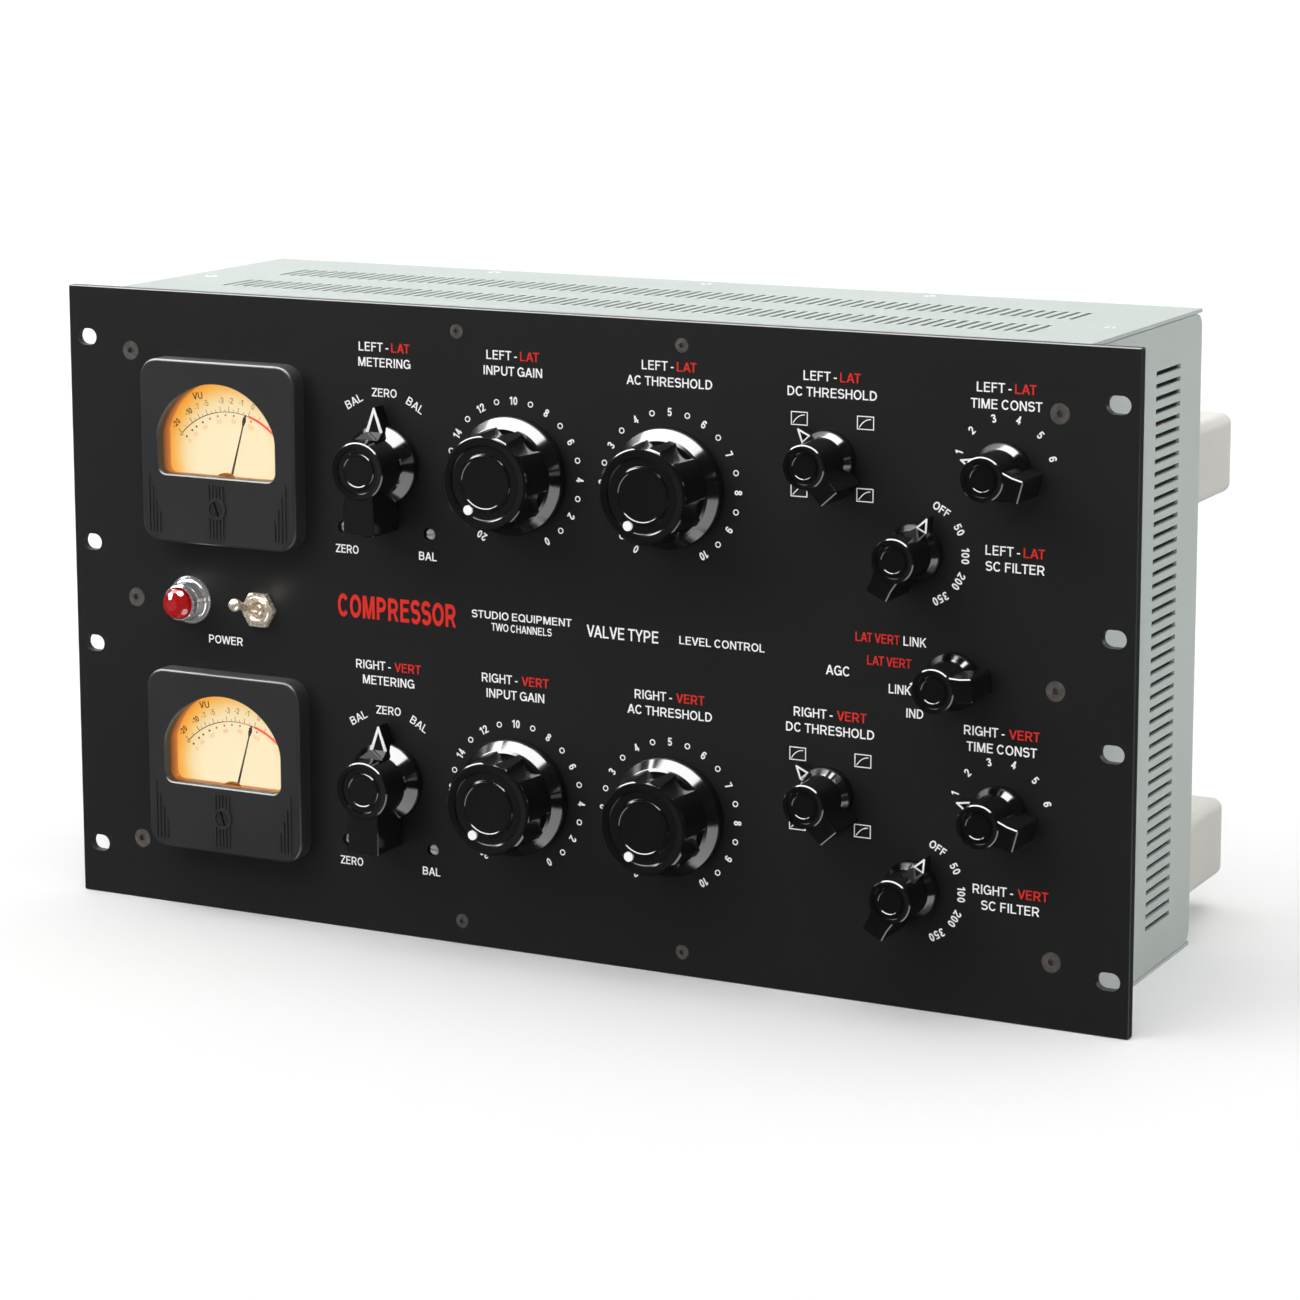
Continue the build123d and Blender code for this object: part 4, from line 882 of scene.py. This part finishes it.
def knob_marks(body, kind):
    c = C[body]
    top = (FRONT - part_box(body + "_knob")[0].y) / MM
    mk = Ink()
    m = face(c.x, c.z, 0, REST[body])
    if kind in ("input_gain", "ac_threshold"):
        mk.disc(0, 13.55, 1.95, m, top - 1.0, top - 0.02, 36)
    elif kind == "metering":
        for s in (-1, 1):
            mk.prism([(s * 3.9, 13.6), (s * 2.85, 13.6), (s * 0.0, 22.3), (0.0, 24.5), (s * 0.32, 24.5), (s * 3.88, 14.6)], m, 7.9, 8.3)
    else:
        for s in (-1, 1):
            mk.prism([(s * 2.35, 10.5), (s * 1.80, 10.5), (0.0, 14.6), (0.0, 16.0), (s * 0.25, 16.0), (s * 2.33, 10.9)], m, 6.9, 7.14)
        mk.line((-2.1, 10.85), (2.1, 10.85), 0.45, m, 6.9, 7.13)
    mk.obj(body + "_knob_mark", KNOB_WHITE_PAINTED_GLOW, body, "knob_black")


for body in C:
    knob_marks(body, body.replace("left_", "").replace("right_", ""))

# ------------------------------------------------------------------ side plate rivets and wires behind the slots
for s, node in ((1, "right_side_plate"), (-1, "left_side_plate")):
    lo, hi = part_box(node)
    x = hi.x if s > 0 else lo.x
    for k, (y, z) in enumerate(((0.100, -0.1215), (0.006, -0.1215), (0.006, 0.1215))):
        m = Matrix.Translation((x, y, z)) @ Matrix.Rotation(math.radians(90 * s), 4, "Y")
        v, f = lathe([(0, -0.5), (1.7, -0.5), (1.7, 0.02), (1.55, 0.10), (1.2, 0.10), (1.05, 0.03), (0, 0.03)], m, 28)
        solid(f"side_rivet_{'right' if s > 0 else 'left'}_{k + 1}", v, f, M["case_paint"], "chassis")


def wire(name, pts, r, mat):
    cu = bpy.data.curves.new(name, "CURVE")
    cu.dimensions = "3D"
    sp = cu.splines.new("NURBS")
    sp.points.add(len(pts) - 1)
    for p, q in zip(sp.points, pts):
        p.co = (q[0] * MM, q[1] * MM, q[2] * MM, 1)
    sp.use_endpoint_u = True
    sp.order_u = 4
    cu.bevel_depth = r * MM
    cu.bevel_resolution = 2
    cu.use_fill_caps = True
    o = bpy.data.objects.new(name, cu)
    scene.collection.objects.link(o)
    cu.materials.append(mat)
    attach(o, "chassis")
    return o


for k, z in enumerate((108.0, 84.0, 60.0, 24.0, -20.0, -64.0, -96.0)):
    wire(f"loom_red_{k + 1}", [(208, 52, z), (212, 66, z + 6), (213.2, 84, z - 2), (212.5, 100, z + 7), (206, 112, z + 2)], 0.8, WIRE_RED)
    wire(f"loom_grey_{k + 1}", [(207, 50, z - 9), (211, 68, z - 12), (212.8, 88, z - 8), (210, 104, z - 14), (204, 112, z - 10)], 0.8, WIRE_GREY)

# ------------------------------------------------------------------ stage, light and camera
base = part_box("bottom_cover")[0].z
me = bpy.data.meshes.new("floor")
me.from_pydata([(-12, -12, base), (12, -12, base), (12, 12, base), (-12, 12, base)], [], [(0, 1, 2, 3)])
floor = bpy.data.objects.new("floor", me)
scene.collection.objects.link(floor)
fm, nt, b = new_mat("pale_floor")
fn = noise(nt, coords(nt), 3.0, 2.0)
fc = ramp(nt, fn, "Fac", [(0.3, (0.86, 0.86, 0.86)), (0.7, (0.88, 0.88, 0.88))])
link(nt, fc, "Color", b, "Base Color")
b.inputs["Roughness"].default_value = 0.9
b.inputs["Specular IOR Level"].default_value = 0.1
me.materials.append(fm)
floor.visible_glossy = False
floor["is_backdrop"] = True

world = bpy.data.worlds.new("studio")
scene.world = world
world.use_nodes = True
wnt = world.node_tree
wnt.nodes.clear()


def wmath(op, a, c=None, clamp=False):
    n = wnt.nodes.new("ShaderNodeMath")
    n.operation = op
    n.use_clamp = clamp
    for i, v in enumerate((a, c)):
        if v is None:
            continue
        if isinstance(v, (int, float)):
            n.inputs[i].default_value = v
        else:
            wnt.links.new(v, n.inputs[i])
    return n.outputs[0]


def step(v, lo, hi):
    """0 below lo, 1 above hi, with a soft edge between; hi < lo turns it round."""
    n = wnt.nodes.new("ShaderNodeMapRange")
    n.interpolation_type = "SMOOTHSTEP"
    n.clamp = True
    wnt.links.new(v, n.inputs["Value"])
    if hi >= lo:
        n.inputs["From Min"].default_value, n.inputs["From Max"].default_value = lo, hi
        n.inputs["To Min"].default_value, n.inputs["To Max"].default_value = 0.0, 1.0
    else:
        n.inputs["From Min"].default_value, n.inputs["From Max"].default_value = hi, lo
        n.inputs["To Min"].default_value, n.inputs["To Max"].default_value = 1.0, 0.0
    return n.outputs["Result"]


# a dark studio with big soft boxes, seen in the gloss; even white light for everything matt
wtc = wnt.nodes.new("ShaderNodeTexCoord")
wsep = wnt.nodes.new("ShaderNodeSeparateXYZ")
wnt.links.new(wtc.outputs["Generated"], wsep.inputs["Vector"])
WX, WY, WZ = wsep.outputs["X"], wsep.outputs["Y"], wsep.outputs["Z"]
theta = wmath("MULTIPLY", wmath("ARCTAN2", WX, WZ), 57.29578)
inside = wmath("MULTIPLY", step(WY, -0.62, -0.55), step(WY, 0.62, 0.45))
top_box = wmath("MULTIPLY", wmath("MULTIPLY", step(theta, -66.0, -62.0), step(theta, 35.0, 31.0)), inside)
right_box = wmath("MULTIPLY", wmath("MULTIPLY", step(theta, 106.0, 110.0), step(theta, 176.0, 168.0)), inside)
left_wall = wmath("MULTIPLY", step(WX, -0.36, -0.66), step(WY, -0.45, -0.70))
back_strip = wmath("MULTIPLY", wmath("MULTIPLY", step(WY, 0.78, 0.84), step(theta, 20.0, 40.0)), step(theta, 100.0, 80.0))
gloss = wmath("ADD", wmath("MULTIPLY", top_box, 19.0), 0.045)
gloss = wmath("ADD", gloss, wmath("MULTIPLY", right_box, 3.2))
gloss = wmath("ADD", gloss, wmath("MULTIPLY", left_wall, 0.26))
gloss = wmath("ADD", gloss, wmath("MULTIPLY", back_strip, 1.2))
lp = wnt.nodes.new("ShaderNodeLightPath")


def wmix(fac, a, c):
    n = wnt.nodes.new("ShaderNodeMix")
    n.data_type = "FLOAT"
    wnt.links.new(fac, n.inputs["Factor"])
    for i, v in ((2, a), (3, c)):
        if isinstance(v, (int, float)):
            n.inputs[i].default_value = v
        else:
            wnt.links.new(v, n.inputs[i])
    return n.outputs[0]


level = wmix(lp.outputs["Is Glossy Ray"], 0.60, gloss)
level = wmix(lp.outputs["Is Camera Ray"], level, 0.97)
bg = wnt.nodes.new("ShaderNodeBackground")
bg.inputs["Color"].default_value = (1, 1, 1, 1)
wnt.links.new(level, bg.inputs["Strength"])
wout = wnt.nodes.new("ShaderNodeOutputWorld")
wnt.links.new(bg.outputs["Background"], wout.inputs["Surface"])


def sun(name, toward, strength, spread):
    """Even light from one side of the room, as from a very large diffuser."""
    li = bpy.data.lights.new(name, "SUN")
    li.energy = strength
    li.angle = math.radians(spread)
    o = bpy.data.objects.new(name, li)
    scene.collection.objects.link(o)
    o.rotation_euler = (-Vector(toward)).to_track_quat("-Z", "Y").to_euler()
    o.visible_glossy = False
    return o


sun("overhead_diffuser", (-0.10, -0.22, 1.0), 1.62, 80.0)
sun("front_left_diffuser", (-0.75, -1.0, 0.55), 0.22, 60.0)
sun("right_diffuser", (1.0, -0.15, 0.12), 0.42, 60.0)
scene.view_settings.view_transform = "Standard"
scene.view_settings.look = "None"

# camera: a fitted place and view, found in the panel-front frame in millimetres
F_PX, ANG, T, CY = 3806.9, (9.62, 27.002, -0.103), (-32.81, 57.08, 1538.03), 500.0
rx, ry, rz = (math.radians(a) for a in ANG)
RX, RY, RZ = Matrix.Rotation(rx, 3, "X"), Matrix.Rotation(ry, 3, "Y"), Matrix.Rotation(rz, 3, "Z")
RW = (RZ @ RX @ RY) @ Matrix(((1, 0, 0), (0, 0, -1), (0, 1, 0)))
pos = -(RW.transposed() @ Vector(T)) * MM
pos.y += FRONT
FLIP = Matrix(((1, 0, 0), (0, -1, 0), (0, 0, -1)))
cam_rot = (FLIP @ RW).transposed()
cd = bpy.data.cameras.new("camera")
cd.sensor_width = 36.0
cd.lens = F_PX * 36.0 / 1300.0
cd.shift_y = (CY - 650.0) / 1300.0
cd.clip_start, cd.clip_end = 0.05, 60.0
cam = bpy.data.objects.new("camera", cd)
cam.matrix_world = Matrix.Translation(pos) @ cam_rot.to_4x4()
scene.collection.objects.link(cam)
scene.camera = cam

lo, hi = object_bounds()
